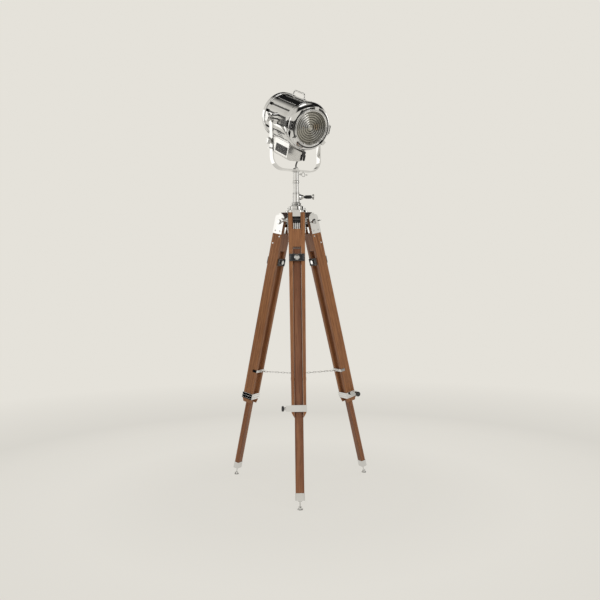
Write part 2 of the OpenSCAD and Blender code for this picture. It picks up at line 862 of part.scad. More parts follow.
// Tubular bulb with a domed top
module bulb() {
    bulb_r = 17;
    color([1, 0.9, 0.7, 0.6])
    on_head()
    translate([0, -14, -29 + seat_clear])
    rotate_extrude() {
        square([9, 8]);
        intersection() {
            translate([0, 26]) circle(r = 26);
            translate([0, 4]) square([bulb_r, 18]);
        }
        translate([0, 22]) square([bulb_r, 12]);
        intersection() {
            translate([0, 34]) circle(r = bulb_r);
            translate([0, 33]) square([bulb_r, 20]);
        }
    }
}

// Push-pull rod that moves the carriage, with a black grip of two prongs at its front end
module focus_rod() {
    rod_back = 24;
    prong_r = 5;
    prong_len = 20;
    prong_gap = 3;
    color("#161616")
    on_head()
    translate([rod_x, 0, rod_z])
    union() {
        translate([0, rod_back, 0]) facing_front() cylinder(r = screw_r, h = rod_back - grip_y);
        translate([0, grip_y + 4, 0]) facing_front() cylinder(r = 6.5, h = 10);
        translate([-prong_gap / 2 - prong_r, grip_y - 4, -18]) cube([2 * prong_r + prong_gap, 7, 18]);
        both_sides() translate([prong_gap / 2 + prong_r, grip_y, -10 - prong_len]) {
            cylinder(r = prong_r, h = prong_len);
            sphere(r = prong_r);
        }
    }
}

// ---------------------------------------------------------------- lead

// Where the lead leaves the housing's floor, in x and y of the head frame
lead_exit = [22, -46];
lead_start = head_to_world([lead_exit[0], lead_exit[1], 4 - housing_drop]);
lead_end = [0, axis_y, socket_tip + seat_clear];
lead_pull = 16;
lead_down = head_to_world([lead_exit[0], lead_exit[1], 4 - housing_drop - lead_pull]);
lead_up = lead_end + [0, 0, lead_pull];
lead_rings = 14;
lead_sides = 10;

// A point of the head frame in the lamp's frame
function head_to_world(p) = let (
        y = p[1] * cos(tilt_angle) - p[2] * sin(tilt_angle),
        z = p[1] * sin(tilt_angle) + p[2] * cos(tilt_angle))
    [p[0] * cos(pan_angle) - y * sin(pan_angle),
        p[0] * sin(pan_angle) + y * cos(pan_angle) + axis_y, z + tilt_h];

// Point and direction of the lead at t from 0 to 1, on one smooth curve
function lead_at(t) = pow(1 - t, 3) * lead_start + 3 * t * pow(1 - t, 2) * lead_down
    + 3 * t * t * (1 - t) * lead_up + pow(t, 3) * lead_end;
function unit(v) = v / norm(v);
function lead_dir(t) = unit(lead_at(min(1, t + 0.01)) - lead_at(max(0, t - 0.01)));

// One ring of points round the lead
function lead_ring(t) = let (
        along = lead_dir(t),
        side = unit(cross(along, [1, 0, 0])),
        other = cross(along, side))
    [for (k = [0 : lead_sides - 1]) lead_at(t)
        + lead_r * (side * cos(k * 360 / lead_sides) + other * sin(k * 360 / lead_sides))];

// Short lead from the housing's floor down into the top of the yoke socket
module cable_lead() {
    points = [for (i = [0 : lead_rings]) each lead_ring(i / lead_rings)];
    last = lead_rings * lead_sides;
    walls = [for (i = [0 : lead_rings - 1]) for (k = [0 : lead_sides - 1])
        let (a = i * lead_sides + k, b = i * lead_sides + (k + 1) % lead_sides)
        each [[a, b, b + lead_sides], [a, b + lead_sides, a + lead_sides]]];
    ends = [[for (k = [lead_sides - 1 : -1 : 0]) k], [for (k = [0 : lead_sides - 1]) last + k]];
    color("#111111") polyhedron(points, concat(walls, ends));
}

// ---------------------------------------------------------------- leg

// Two tapering rails with the spacer block between their tops
module leg_rails(az) {
    color("#9a5f38")
    on_leg(az) {
        difference() {
            for (side = [-1, 1]) mirror([0, side < 0 ? 1 : 0, 0]) rail();
            translate([0, -60, 0]) along_y() cylinder(r = bolt_r + run_clear, h = 120);
        }
        translate([0, 0, block_bottom])
            block_between(rail_d - 1, rail_gap - 0.3, 0, block_h);
    }
}

// One rail on the +y side: its side view tapers, its top corners are round
module rail() {
    intersection() {
        translate([-rail_half, 0, 0]) rotate([90, 0, 90]) linear_extrude(rail_d)
            polygon([[rail_in, rail_top], [rail_in + rail_t_top, rail_top],
                [rail_in + rail_t_top, taper_start], [rail_in + rail_t_low, taper_end],
                [rail_in + rail_t_low, rail_bottom + rail_chamfer], [rail_in + 1.5, rail_bottom],
                [rail_in, rail_bottom]]);
        translate([0, 60, 0]) facing_front() linear_extrude(60) rounded_top(rail_bottom);
    }
}

// Upright strip with two round top corners, drawn in x and z
module rounded_top(low) {
    arc_x = rail_half - rail_top_round;
    arc_z = rail_top - rail_top_round;
    translate([-rail_half, low]) square([rail_d, arc_z - low]);
    translate([-arc_x, arc_z - 1]) square([2 * arc_x, rail_top_round + 1]);
    for (side = [-1, 1]) translate([side * arc_x, arc_z]) circle(r = rail_top_round);
}

// Polished side plates with their screws, the pivot bolt and the fluted spacer
module leg_hinge_plates(az) {
    plate_in = rail_in + rail_t_top;
    plate_low = rail_top - plate_len;
    color("silver")
    on_leg(az) {
        for (side = [-1, 1]) mirror([0, side < 0 ? 1 : 0, 0]) {
            difference() {
                translate([0, plate_in + plate_t, 0]) facing_front() linear_extrude(plate_t)
                    rounded_top(plate_low);
                translate([0, plate_in - 1, 0]) along_y() cylinder(r = bolt_r + run_clear, h = plate_t + 2);
            }
            for (x = [-11, 11]) translate([x, plate_in + plate_t, plate_low + 12])
                along_y() cylinder(r1 = 3.4, r2 = 2.2, h = 1.6);
            for (p = [[-13, plate_low - 10], [13, plate_low - 42]])
                translate([p[0], leg_half(p[1]) + run_clear, p[1]])
                    along_y() cylinder(r1 = 3.6, r2 = 2.4, h = 1.4);
        }
        translate([0, -plate_in - plate_t - 18, 0]) along_y()
            cylinder(r = bolt_r, h = 2 * plate_in + 2 * plate_t + 19);
        translate([0, plate_in + plate_t + face_clear, 0]) along_y() cylinder(r1 = 11, r2 = 9.5, h = 3);
        translate([0, plate_in + plate_t + 3, 0]) along_y() cylinder(r = 9, h = 6, $fn = 6);
        fluted_spacer();
    }
}

// Spacer between the rails with round bars on its outer face
module fluted_spacer() {
    w = rail_gap - 0.3;
    height = flute_top - flute_bottom;
    pitch = w / 4;
    translate([-flute_depth, -w / 2, flute_bottom]) cube([2 * flute_depth - pitch / 2 + 1, w, height]);
    for (i = [0 : 3]) translate([flute_depth - pitch / 2 + 1, -w / 2 + (i + 0.5) * pitch, flute_bottom])
        cylinder(r = pitch / 2 - 0.4, h = height);
}

// Wing nut and its conical washer
module leg_wing_nut(az) {
    start = rail_in + rail_t_top + plate_t + face_clear;
    color("silver")
    on_leg(az)
    translate([0, -start, 0])
    rotate([90, 0, 0])
    difference() {
        union() {
            cylinder(r1 = 11, r2 = 7.5, h = 5);
            translate([0, 0, 5]) cylinder(r1 = 7.5, r2 = 6, h = 11);
            for (side = [-1, 1]) wing(side);
        }
        translate([0, 0, -1]) cylinder(r = bolt_r + run_clear, h = 30);
    }
}

// One wing of a wing nut, in the XZ plane
module wing(side) {
    t = 4;
    mirror([side < 0 ? 1 : 0, 0, 0])
    translate([0, t / 2, 0])
    rotate([90, 0, 0])
    linear_extrude(t) {
        polygon([[4, 6], [4, 15], [15, 24], [20, 17]]);
        translate([17.2, 20.2]) circle(r = 5, $fn = 32);
    }
}

// Clamp band with its lug near the lower end, and the spreader bracket with its eye
module leg_straps(az) {
    color("silver")
    on_leg(az) {
        clamp_band();
        spreader_bracket();
    }
}

module clamp_band() {
    half = rail_in + rail_t_low;
    difference() {
        union() {
            band_box(0, band_mid - band_h / 2, band_h);
            for (z = [1 - band_h / 2, -1.5, band_h / 2 - 4]) band_box(0.8, band_mid + z, 3);
            translate([lug_x - lug_d / 2, -half - band_t - lug_reach, band_mid - band_h / 2 + 1])
                cube([lug_d, lug_reach, band_h - 2]);
        }
        band_box(seat_clear - band_t, band_mid - band_h, 2 * band_h);
        translate([lug_x, -half - 60, band_mid]) along_y() cylinder(r = screw_r + run_clear, h = 62);
    }
}

// Box round the lower rails, as far out as the band plus more
module band_box(more, low, high) {
    reach = 2 * (band_t + more);
    block_between(rail_d + reach, 2 * (rail_in + rail_t_low) + reach, low, low + high);
}

// Strap round the inner face of the rails, its ends bent on to their sides, with an eye for the chain
module spreader_bracket() {
    t = 2.5;
    high = 11;
    arm = 20;
    top = -bracket_down + high / 2;
    half = leg_half(top) + seat_clear;
    translate([-rail_half - seat_clear - t, -half - t, top - high]) cube([t, 2 * (half + t), high]);
    for (side = [-1, 1]) translate([-rail_half - seat_clear - t, side * (half + t / 2) - t / 2, top - high])
        cube([arm, t, high]);
    translate([eye_x, 0, -bracket_down]) rotate([90, 0, 0]) wire_ring(eye_ring_r, 1.25);
}

// Screw with a black knob, through the clamp band's lug
module leg_clamp_screw(az) {
    half = rail_in + rail_t_low;
    knob_start = half + band_t + lug_reach + 7;
    color("#1c1c1c")
    on_leg(az)
    translate([lug_x, 0, band_mid])
    rotate([90, 0, 0])
    union() {
        translate([0, 0, half + 0.2]) cylinder(r = screw_r, h = knob_start - half);
        translate([0, 0, half + band_t + lug_reach + face_clear]) cylinder(r1 = 7, r2 = 5, h = 6);
        translate([0, 0, knob_start - 1]) cylinder(r1 = 6, r2 = 10.5, h = 2.5);
        translate([0, 0, knob_start + 1.5]) cylinder(r = 10.5, h = 6);
        translate([0, 0, knob_start + 7.5]) cylinder(r1 = 10.5, r2 = 8, h = 2);
    }
}

// Sliding inner leg with chamfered edges
module leg_slider(az) {
    low = -leg_len + ferrule_up + ferrule_wall;
    color("#8a5230")
    on_leg(az)
    difference() {
        translate([0, 0, low]) linear_extrude(slider_top - low) chamfered_rect(slider_d, slider_w, 3.5);
        translate([-50, 0, guide_z]) along_x() cylinder(r = guide_bolt_r + run_clear, h = 100);
    }
}

module chamfered_rect(x, y, c) {
    polygon([[-x / 2 + c, -y / 2], [x / 2 - c, -y / 2], [x / 2, -y / 2 + c], [x / 2, y / 2 - c],
        [x / 2 - c, y / 2], [-x / 2 + c, y / 2], [-x / 2, y / 2 - c], [-x / 2, -y / 2 + c]]);
}

// Clamp that guides the sliding leg's top between the rails: two plates, a bolt and its knobs
module leg_guide_clamp(az) {
    face = rail_half + face_clear;
    color("#222222")
    on_leg(az)
    translate([0, 0, guide_z])
    union() {
        translate([-face - guide_t - 2, 0, 0]) along_x() cylinder(r = guide_bolt_r, h = 2 * (face + guide_t + 2));
        translate([face, -guide_w / 2, -guide_h / 2]) cube([guide_t, guide_w, guide_h]);
        translate([-face - guide_t, -guide_w / 2 + 8, -guide_h / 2]) cube([guide_t, guide_w - 16, guide_h]);
        for (side = [-1, 1]) translate([-face - guide_t - 5, side * (guide_w / 2 - 10) - 2, -guide_h / 2])
            cube([6, 4, guide_h]);
        translate([face + guide_t, 0, 0]) along_x() cylinder(r1 = 7, r2 = 8.5, h = 5);
        translate([face + guide_t + 5, 0, 0]) along_x() cylinder(r1 = 8.5, r2 = 6.5, h = 3);
        translate([-face - guide_t - 7, 0, 0]) along_x() cylinder(r = 8, h = 7);
    }
}

// Metal shoe on the sliding leg, with the stem and ball that the foot turns on
module leg_ferrule(az) {
    low = -leg_len + ferrule_up;
    out = 2 * (ferrule_wall + seat_clear);
    color("silver")
    on_leg(az)
    union() {
        difference() {
            translate([0, 0, low]) linear_extrude(ferrule_h)
                chamfered_rect(slider_d + out, slider_w + out, 4);
            translate([0, 0, low + ferrule_wall - seat_clear]) linear_extrude(ferrule_h + 10)
                chamfered_rect(slider_d + 2 * seat_clear, slider_w + 2 * seat_clear, 3.4);
        }
        translate([0, 0, low - 4]) cylinder(r1 = 7, r2 = 9.5, h = 4.5);
        translate([0, 0, -leg_len]) cylinder(r = foot_stem_r, h = ferrule_up + 1);
        translate([0, 0, -leg_len]) sphere(r = ball_r);
    }
}

// Levelling foot: a disc and a bell with a socket for the ball
module leg_foot(az) {
    bell_r = ball_r + 2.6;
    color("silver")
    on_mast() rotate([0, 0, az]) translate([foot_circle_r, 0, 0])
    difference() {
        rotate_extrude()
            polygon([[0, 0], [foot_dia / 2, 0], [foot_dia / 2, 2.2], [foot_dia / 2 - 1, 3],
                [bell_r + 1, 4], [bell_r, 6.5], [bell_r - 0.6, bell_h], [0, bell_h]]);
        translate([0, 0, foot_ball_h]) sphere(r = ball_r + soft_clear);
    }
}

// ---------------------------------------------------------------- spreader chain

guide_z = slider_top - guide_down;
eye_ring_r = 4;
eye_x = -rail_half - seat_clear - 2.5 - eye_ring_r - 0.6;
spreader_h = up_of(eye_x, -bracket_down);
eye_out = out_of(eye_x, -bracket_down);
link_clear = 0.3;
link_in_w = 2.6;
spreader_wire_r = 1.2;
first_in = spreader_ring_r - spreader_wire_r - link_clear;
last_in = eye_out - eye_ring_r + 1.25 + link_clear;
link_count = 2 * round((last_in - first_in) / 28);
link_pitch = (last_in - first_in - link_clear) / link_count;
link_in_len = link_pitch + link_clear;

// One link lying along x, centred, in the XY plane
module chain_link() {
    r = (link_in_w + chain_wire) / 2;
    straight = link_in_len - link_in_w;
    for (side = [-1, 1]) {
        translate([-straight / 2, side * r, 0]) along_x() cylinder(r = chain_wire / 2, h = straight, $fn = 32);
        translate([side * straight / 2, 0, 0]) rotate([0, 0, side > 0 ? -90 : 90])
            rotate_extrude(angle = 180) translate([r, 0]) circle(r = chain_wire / 2, $fn = 32);
    }
}

module leg_chain(az) {
    color("silver")
    on_mast(spreader_h)
    rotate([0, 0, az])
    for (i = [0 : link_count - 1])
        translate([first_in + link_in_len / 2 + i * link_pitch, 0, 0])
            rotate([i % 2 == 0 ? 90 : 0, 0, 0]) chain_link();
}

// One named piece of one leg
module leg_piece(name, az) {
    if (name == "rails") leg_rails(az);
    if (name == "hinge_plates") leg_hinge_plates(az);
    if (name == "wing_nut") leg_wing_nut(az);
    if (name == "straps") leg_straps(az);
    if (name == "clamp_screw") leg_clamp_screw(az);
    if (name == "slider") leg_slider(az);
    if (name == "guide_clamp") leg_guide_clamp(az);
    if (name == "ferrule") leg_ferrule(az);
    if (name == "foot") leg_foot(az);
    if (name == "chain") leg_chain(az);
}

// ---------------------------------------------------------------- drawing

crown_block();
crown_casting();
hinge_barrels();
mast_socket();
spreader_ring();
mast_lock_screw();
mast_tube();
yoke_strap();
yoke_socket();
pan_lock_screw();
arm_brake_knob();
tilt_knob_left();
tilt_knob_right();
drum_shell();
rear_cover();
front_rim();
top_handle();
lamp_housing();
vent_panels();
trunnions();
lens_bezel();
fresnel_lens();
filter_ears();
door_latch();
focus_carriage();
reflector();
lamp_holder();
bulb();
focus_rod();
cable_lead();
for (i = [0 : 2]) for (part = LEG_PARTS)
    leg_piece(part, LEG_ANGLES[i]);
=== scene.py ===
"""Looks of the tripod spotlight floor lamp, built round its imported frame.

Each sub-assembly is a class that models its pieces, dresses them in procedural finishes and
mounts them on the frame's bodies. Sizes are in millimetres and are turned into metres by MM.
"""

import json
import logging
import math
from contextlib import contextmanager
from dataclasses import dataclass, replace
from enum import Enum
from typing import Callable, Iterator, Sequence

import bpy
from mathutils import Matrix, Vector


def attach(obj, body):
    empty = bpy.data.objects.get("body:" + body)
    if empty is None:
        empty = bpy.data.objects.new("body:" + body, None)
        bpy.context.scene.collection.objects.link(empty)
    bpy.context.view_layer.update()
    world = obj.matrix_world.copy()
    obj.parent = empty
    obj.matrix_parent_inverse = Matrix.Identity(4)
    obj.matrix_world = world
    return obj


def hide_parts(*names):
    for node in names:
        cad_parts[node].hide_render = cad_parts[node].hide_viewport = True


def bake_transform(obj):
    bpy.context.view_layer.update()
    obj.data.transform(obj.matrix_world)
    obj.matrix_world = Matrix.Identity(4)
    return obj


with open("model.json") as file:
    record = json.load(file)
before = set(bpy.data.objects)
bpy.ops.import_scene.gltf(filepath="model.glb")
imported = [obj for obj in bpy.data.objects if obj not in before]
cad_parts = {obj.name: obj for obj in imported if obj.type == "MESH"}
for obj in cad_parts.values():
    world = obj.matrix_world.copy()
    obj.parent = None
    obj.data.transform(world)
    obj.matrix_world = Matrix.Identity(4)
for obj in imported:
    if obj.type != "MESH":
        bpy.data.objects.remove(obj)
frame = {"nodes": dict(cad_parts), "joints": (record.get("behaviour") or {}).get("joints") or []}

LOG = logging.getLogger("lamp")
MM = 0.001
FULL_TURN = 2 * math.pi

Profile = Sequence[tuple[float, float]]
Colour = tuple[float, float, float, float]
FaceTest = Callable[[Vector, Vector], bool]
Piece = bpy.types.Object
Material = bpy.types.Material
Node = bpy.types.Node
Socket = bpy.types.NodeSocket
Tree = bpy.types.NodeTree


# ------------------------------------------------------------------ the frame's own places


class Place:
    """Local frames of the lamp's assemblies, read from the frame's joints."""

    def __init__(self, joints: list[dict]) -> None:
        """Indexes the joints by name.

        Args:
            joints: The frame's joints, with their axes and anchor points.
        """
        self.joints = {joint["name"]: joint for joint in joints}

    def axis(self, joint: str) -> Vector:
        """Returns a joint's axis as a unit vector."""
        return Vector(self.joints[joint]["axis"]).normalized()

    def anchor(self, joint: str) -> Vector:
        """Returns the point that a hinge turns about."""
        return Vector(self.joints[joint]["pos_m"])

    @staticmethod
    def matrix(origin: Vector, x: Vector, y: Vector, z: Vector) -> Matrix:
        """Returns the matrix of a local frame from its origin and its three axes."""
        turn = Matrix((x, y, z)).transposed().to_4x4()
        return Matrix.Translation(origin) @ turn

    def head(self) -> Matrix:
        """Returns the head's frame: origin on the tilt axis, the lens looks along -Y."""
        x = self.axis("head_tilt")
        y = -self.axis("focus_slide")
        return self.matrix(self.anchor("head_tilt"), x, y, x.cross(y))

    def yoke(self) -> Matrix:
        """Returns the yoke's frame: the head's origin and tilt axis, with Z upright."""
        x = self.axis("head_tilt")
        z = Vector((0, 0, 1))
        return self.matrix(self.anchor("head_tilt"), x, z.cross(x), z)

    def mast(self) -> Matrix:
        """Returns the mast's frame: on the mast's axis, at floor height."""
        foot = self.anchor("yoke_pan")
        return Matrix.Translation((foot.x, foot.y, 0))

    def leg(self, name: str) -> Matrix:
        """Returns a leg's frame: origin on its pivot, Z up along the leg, X away from the mast."""
        y = self.axis(f"leg_{name}_fold")
        z = -self.axis(f"leg_{name}_slide")
        return self.matrix(self.anchor(f"leg_{name}_fold"), y.cross(z), y, z)


def along(direction: str) -> Matrix:
    """Returns the turn that lays a piece's own Z along another axis.

    Args:
        direction: One of "+X", "-X", "+Y" and "-Y".
    """
    quarter = math.pi / 2
    return {
        "+X": Matrix.Rotation(quarter, 4, "Y"),
        "-X": Matrix.Rotation(-quarter, 4, "Y"),
        "+Y": Matrix.Rotation(-quarter, 4, "X"),
        "-Y": Matrix.Rotation(quarter, 4, "X"),
    }[direction]


def shifted(x: float, y: float, z: float) -> Matrix:
    """Returns the move by a distance given in millimetres."""
    return Matrix.Translation((x * MM, y * MM, z * MM))


# ------------------------------------------------------------------ the bench


class Bench:
    """The modelling moves that the assemblies share, each done with Blender's own operators."""

    @staticmethod
    def pick(*pieces: Piece) -> None:
        """Selects only these pieces and makes the last one active."""
        bpy.ops.object.select_all(action="DESELECT")
        for piece in pieces:
            piece.select_set(True)
        bpy.context.view_layer.objects.active = pieces[-1]

    @staticmethod
    @contextmanager
    def editing(piece: Piece) -> Iterator[None]:
        """Opens a piece in edit mode with all of it selected, and closes it after."""
        Bench.pick(piece)
        bpy.ops.object.mode_set(mode="EDIT")
        bpy.ops.mesh.select_mode(type="VERT")
        bpy.ops.mesh.select_all(action="SELECT")
        yield
        bpy.ops.object.mode_set(mode="OBJECT")

    @staticmethod
    def named(name: str) -> Piece:
        """Names the piece that an operator has just added, and returns it."""
        piece = bpy.context.object
        piece.name = name
        piece.data.name = name
        return piece

    @staticmethod
    def settle(piece: Piece, matrix: Matrix) -> Piece:
        """Puts a piece in its place and applies that, so that its object stays at the origin."""
        piece.matrix_world = matrix @ piece.matrix_world
        Bench.pick(piece)
        bpy.ops.object.transform_apply(location=True, rotation=True, scale=True)
        return piece

    @staticmethod
    def drawn(name: str, outline: Profile, closed: bool) -> Piece:
        """Draws a line in the XZ plane by extruding one vertex from point to point.

        Args:
            name: The piece's name.
            outline: The line's points, in millimetres.
            closed: Whether the last point joins the first.

        Returns:
            The new piece, made of edges only.
        """
        bpy.ops.object.select_all(action="DESELECT")
        bpy.ops.mesh.primitive_plane_add(size=MM)
        piece = Bench.named(name)
        with Bench.editing(piece):
            bpy.ops.mesh.merge(type="CENTER")
            start = outline[0]
            bpy.ops.transform.translate(value=(start[0] * MM, 0, start[1] * MM))
            for here, there in zip(outline, outline[1:]):
                step = ((there[0] - here[0]) * MM, 0, (there[1] - here[1]) * MM)
                bpy.ops.mesh.extrude_region_move(TRANSFORM_OT_translate={"value": step})
            if closed:
                bpy.ops.mesh.select_all(action="SELECT")
                bpy.ops.mesh.edge_face_add()
                bpy.ops.mesh.delete(type="ONLY_FACE")
        return piece

    @staticmethod
    def turned(name: str, outline: Profile, steps: int = 96, ring: bool = False) -> Piece:
        """Turns an outline of (radius, height) points about Z, as on a lathe.

        Args:
            name: The piece's name.
            outline: The half section's points, in millimetres.
            steps: How many sides the turned shape has.
            ring: Whether the outline closes on itself and stays off the axis.

        Returns:
            The turned piece, closed and with its faces outwards.
        """
        piece = Bench.drawn(name, outline, closed=ring)
        with Bench.editing(piece):
            bpy.ops.mesh.spin(steps=steps, angle=FULL_TURN, center=(0, 0, 0), axis=(0, 0, 1))
            bpy.ops.mesh.select_all(action="SELECT")
            bpy.ops.mesh.remove_doubles(threshold=0.002 * MM)
            bpy.ops.mesh.normals_make_consistent(inside=False)
        return piece

    @staticmethod
    def slab(name: str, outline: Profile, thickness: float) -> Piece:
        """Extrudes a closed outline in the XZ plane along +Y.

        Args:
            name: The piece's name.
            outline: The outline's points, in millimetres.
            thickness: How thick the slab is, in millimetres.

        Returns:
            The slab, with its faces outwards.
        """
        piece = Bench.drawn(name, outline, closed=True)
        with Bench.editing(piece):
            bpy.ops.mesh.edge_face_add()
            bpy.ops.mesh.extrude_region_move(TRANSFORM_OT_translate={"value": (0, thickness * MM, 0)})
            bpy.ops.mesh.select_all(action="SELECT")
            bpy.ops.mesh.normals_make_consistent(inside=False)
        return piece

    @staticmethod
    def wire(name: str, points: Sequence[Vector], radius: float, closed: bool = False,
             sides: int = 6) -> Piece:
        """Runs a round wire smoothly through points.

        Args:
            name: The piece's name.
            points: The wire's centre line, in metres.
            radius: The wire's radius, in millimetres.
            closed: Whether the wire joins up.
            sides: The roundness of the wire's section, as the curve's bevel resolution.

        Returns:
            The wire as a mesh.
        """
        bpy.ops.object.select_all(action="DESELECT")
        bpy.ops.curve.primitive_bezier_curve_add()
        piece = Bench.named(name)
        spline = piece.data.splines[0]
        spline.bezier_points.add(len(points) - len(spline.bezier_points))
        for knot, point in zip(spline.bezier_points, points):
            knot.co = point
            knot.handle_left_type = "AUTO"
            knot.handle_right_type = "AUTO"
        spline.use_cyclic_u = closed
        piece.data.dimensions = "3D"
        piece.data.resolution_u = 6
        piece.data.bevel_depth = radius * MM
        piece.data.bevel_resolution = sides
        piece.data.use_fill_caps = not closed
        Bench.pick(piece)
        bpy.ops.object.convert(target="MESH")
        piece = Bench.named(name)
        with Bench.editing(piece):
            bpy.ops.mesh.remove_doubles(threshold=0.002 * MM)
            bpy.ops.mesh.normals_make_consistent(inside=False)
        return piece

    @staticmethod
    def refined(name: str, node: str, merge: float = 0.004) -> Piece:
        """Copies a node of the frame, with its triangles merged into whole faces.

        Args:
            name: The copy's name.
            node: The node that is copied.
            merge: How near two corners are when they become one, in millimetres.

        Returns:
            The copy, ready for bevels.
        """
        source = frame["nodes"][node]
        Bench.pick(source)
        bpy.ops.object.duplicate()
        piece = Bench.named(name)
        piece.parent = None
        for key in [key for key in piece.keys() if key.startswith("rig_")]:
            del piece[key]
        piece.data.materials.clear()
        with Bench.editing(piece):
            bpy.ops.mesh.remove_doubles(threshold=merge * MM)
            bpy.ops.mesh.customdata_custom_splitnormals_clear()
            bpy.ops.mesh.dissolve_limited(angle_limit=math.radians(0.6))
        return piece

    @staticmethod
    def choose(piece: Piece, test: FaceTest) -> int:
        """Selects the faces whose centre and normal pass a test.

        Args:
            piece: The piece, in object mode.
            test: Takes a face's centre, in millimetres, and its normal.

        Returns:
            How many faces are selected.
        """
        Bench.pick(piece)
        bpy.ops.object.mode_set(mode="EDIT")
        bpy.ops.mesh.select_mode(type="FACE")
        bpy.ops.mesh.select_all(action="DESELECT")
        bpy.ops.object.mode_set(mode="OBJECT")
        count = 0
        for face in piece.data.polygons:
            face.select = test(face.center / MM, face.normal)
            count += face.select
        return count

    @staticmethod
    def inset(piece: Piece, test: FaceTest, width: float,
              depth: float, each: bool = True) -> Piece:
        """Insets faces and sinks or raises them, as for knurls, flutes and panels.

        Args:
            piece: The piece to work on.
            test: Takes a face's centre, in millimetres, and its normal.
            width: The border that is left, in millimetres.
            depth: How far the faces rise, in millimetres; below 0 they sink.
            each: Whether every face is inset by itself.

        Returns:
            The same piece.
        """
        if not Bench.choose(piece, test):
            LOG.warning("%s: no face to inset", piece.name)
            return piece
        bpy.ops.object.mode_set(mode="EDIT")
        bpy.ops.mesh.inset(thickness=width * MM, depth=depth * MM, use_individual=each)
        bpy.ops.object.mode_set(mode="OBJECT")
        return piece

    @staticmethod
    def bevelled(piece: Piece, width: float, segments: int = 2,
                 angle: float = 32) -> Piece:
        """Rounds a piece's edges and shades its curves smooth.

        Args:
            piece: The piece to finish.
            width: The bevel's width, in millimetres.
            segments: How many faces the bevel has.
            angle: The least angle between two faces that makes an edge, in degrees.

        Returns:
            The same piece.
        """
        Bench.pick(piece)
        rounding = piece.modifiers.new("rounding", "BEVEL")
        rounding.width = width * MM
        rounding.segments = segments
        rounding.limit_method = "ANGLE"
        rounding.angle_limit = math.radians(angle)
        rounding.harden_normals = True
        bpy.ops.object.shade_smooth_by_angle(angle=math.radians(angle))
        bpy.ops.object.modifier_apply(modifier=rounding.name)
        return piece

    @staticmethod
    def smoothed(piece: Piece, angle: float = 32) -> Piece:
        """Shades a piece smooth, apart from edges sharper than an angle in degrees."""
        Bench.pick(piece)
        bpy.ops.object.shade_smooth_by_angle(angle=math.radians(angle))
        return piece

    @staticmethod
    def copied(piece: Piece, matrix: Matrix) -> Piece:
        """Copies a piece, with its own mesh, to another place."""
        Bench.pick(piece)
        bpy.ops.object.duplicate()
        return Bench.settle(bpy.context.object, matrix)

    @staticmethod
    def joined(name: str, pieces: Sequence[Piece]) -> Piece:
        """Joins pieces into one mesh under one name."""
        Bench.pick(*pieces)
        if len(pieces) > 1:
            bpy.ops.object.join()
        return Bench.named(name)

    @staticmethod
    def spread(name: str, model: Piece, places: Sequence[Matrix]) -> Piece:
        """Repeats a model at each place and joins the copies; the model itself is removed."""
        copies = [Bench.copied(model, place) for place in places]
        bpy.data.objects.remove(model)
        return Bench.joined(name, copies)

    @staticmethod
    def cut(piece: Piece, tool: Piece) -> Piece:
        """Cuts one piece with another, which is used up."""
        Bench.pick(piece)
        cutter = piece.modifiers.new("cut", "BOOLEAN")
        cutter.operation = "DIFFERENCE"
        cutter.solver = "EXACT"
        cutter.object = tool
        bpy.ops.object.modifier_apply(modifier=cutter.name)
        bpy.data.objects.remove(tool)
        return piece

    @staticmethod
    def box(name: str, low: Profile, high: Profile) -> Piece:
        """Adds a box between two corners given in millimetres, as the start of a piece."""
        bpy.ops.object.select_all(action="DESELECT")
        bpy.ops.mesh.primitive_cube_add(size=1)
        piece = Bench.named(name)
        middle = [(a + b) / 2 for a, b in zip(low, high)]
        size = [b - a for a, b in zip(low, high)]
        with Bench.editing(piece):
            bpy.ops.transform.resize(value=[side * MM for side in size])
            bpy.ops.transform.translate(value=[side * MM for side in middle])
        return piece


# ------------------------------------------------------------------ finishes


class Sheet:
    """A node sheet: puts nodes on a material's or group's tree and wires them."""

    def __init__(self, tree: Tree) -> None:
        """Starts on an emptied tree."""
        self.tree = tree
        tree.nodes.clear()

    def put(self, kind: str, inputs: dict | None = None, **settings) -> Node:
        """Adds a node.

        Args:
            kind: The node's type name.
            inputs: Values or sockets for its inputs, by name or number.
            **settings: The node's own settings.

        Returns:
            The new node.
        """
        node = self.tree.nodes.new(kind)
        for key, value in settings.items():
            setattr(node, key, value)
        for key, value in (inputs or {}).items():
            if isinstance(value, Socket):
                self.tree.links.new(value, node.inputs[key])
            else:
                node.inputs[key].default_value = value
        return node

    def wire(self, node: Node, **sockets: Socket) -> None:
        """Wires sockets to a node's inputs, named with underscores for spaces."""
        for key, socket in sockets.items():
            self.tree.links.new(socket, node.inputs[key.replace("_", " ")])

    def noise(self, vector: Socket, scale: float, detail: float = 3,
              roughness: float = 0.5) -> Socket:
        """Adds a noise texture and returns its value."""
        node = self.put("ShaderNodeTexNoise", {"Vector": vector, "Scale": scale, "Detail": detail,
                                               "Roughness": roughness})
        return node.outputs["Fac"]

    def ramp(self, value: Socket, low: float, high: float, start: float,
             end: float) -> Socket:
        """Maps a value from low..high to start..end and returns the result."""
        node = self.put("ShaderNodeMapRange", {"Value": value, "From Min": low, "From Max": high,
                                               "To Min": start, "To Max": end})
        return node.outputs["Result"]

    def math(self, operation: str, a: object, b: object = 0.0) -> Socket:
        """Adds a maths node and returns its value."""
        return self.put("ShaderNodeMath", {0: a, 1: b}, operation=operation).outputs[0]

    def blend(self, factor: Socket, a: object, b: object) -> Socket:
        """Mixes two colours, given as colours or sockets, and returns the result."""
        node = self.put("ShaderNodeMix", data_type="RGBA")
        for name, value in (("Factor_Float", factor), ("A_Color", a), ("B_Color", b)):
            socket = next(item for item in node.inputs if item.identifier == name)
            if isinstance(value, Socket):
                self.tree.links.new(value, socket)
            else:
                socket.default_value = value
        return next(item for item in node.outputs if item.identifier == "Result_Color")


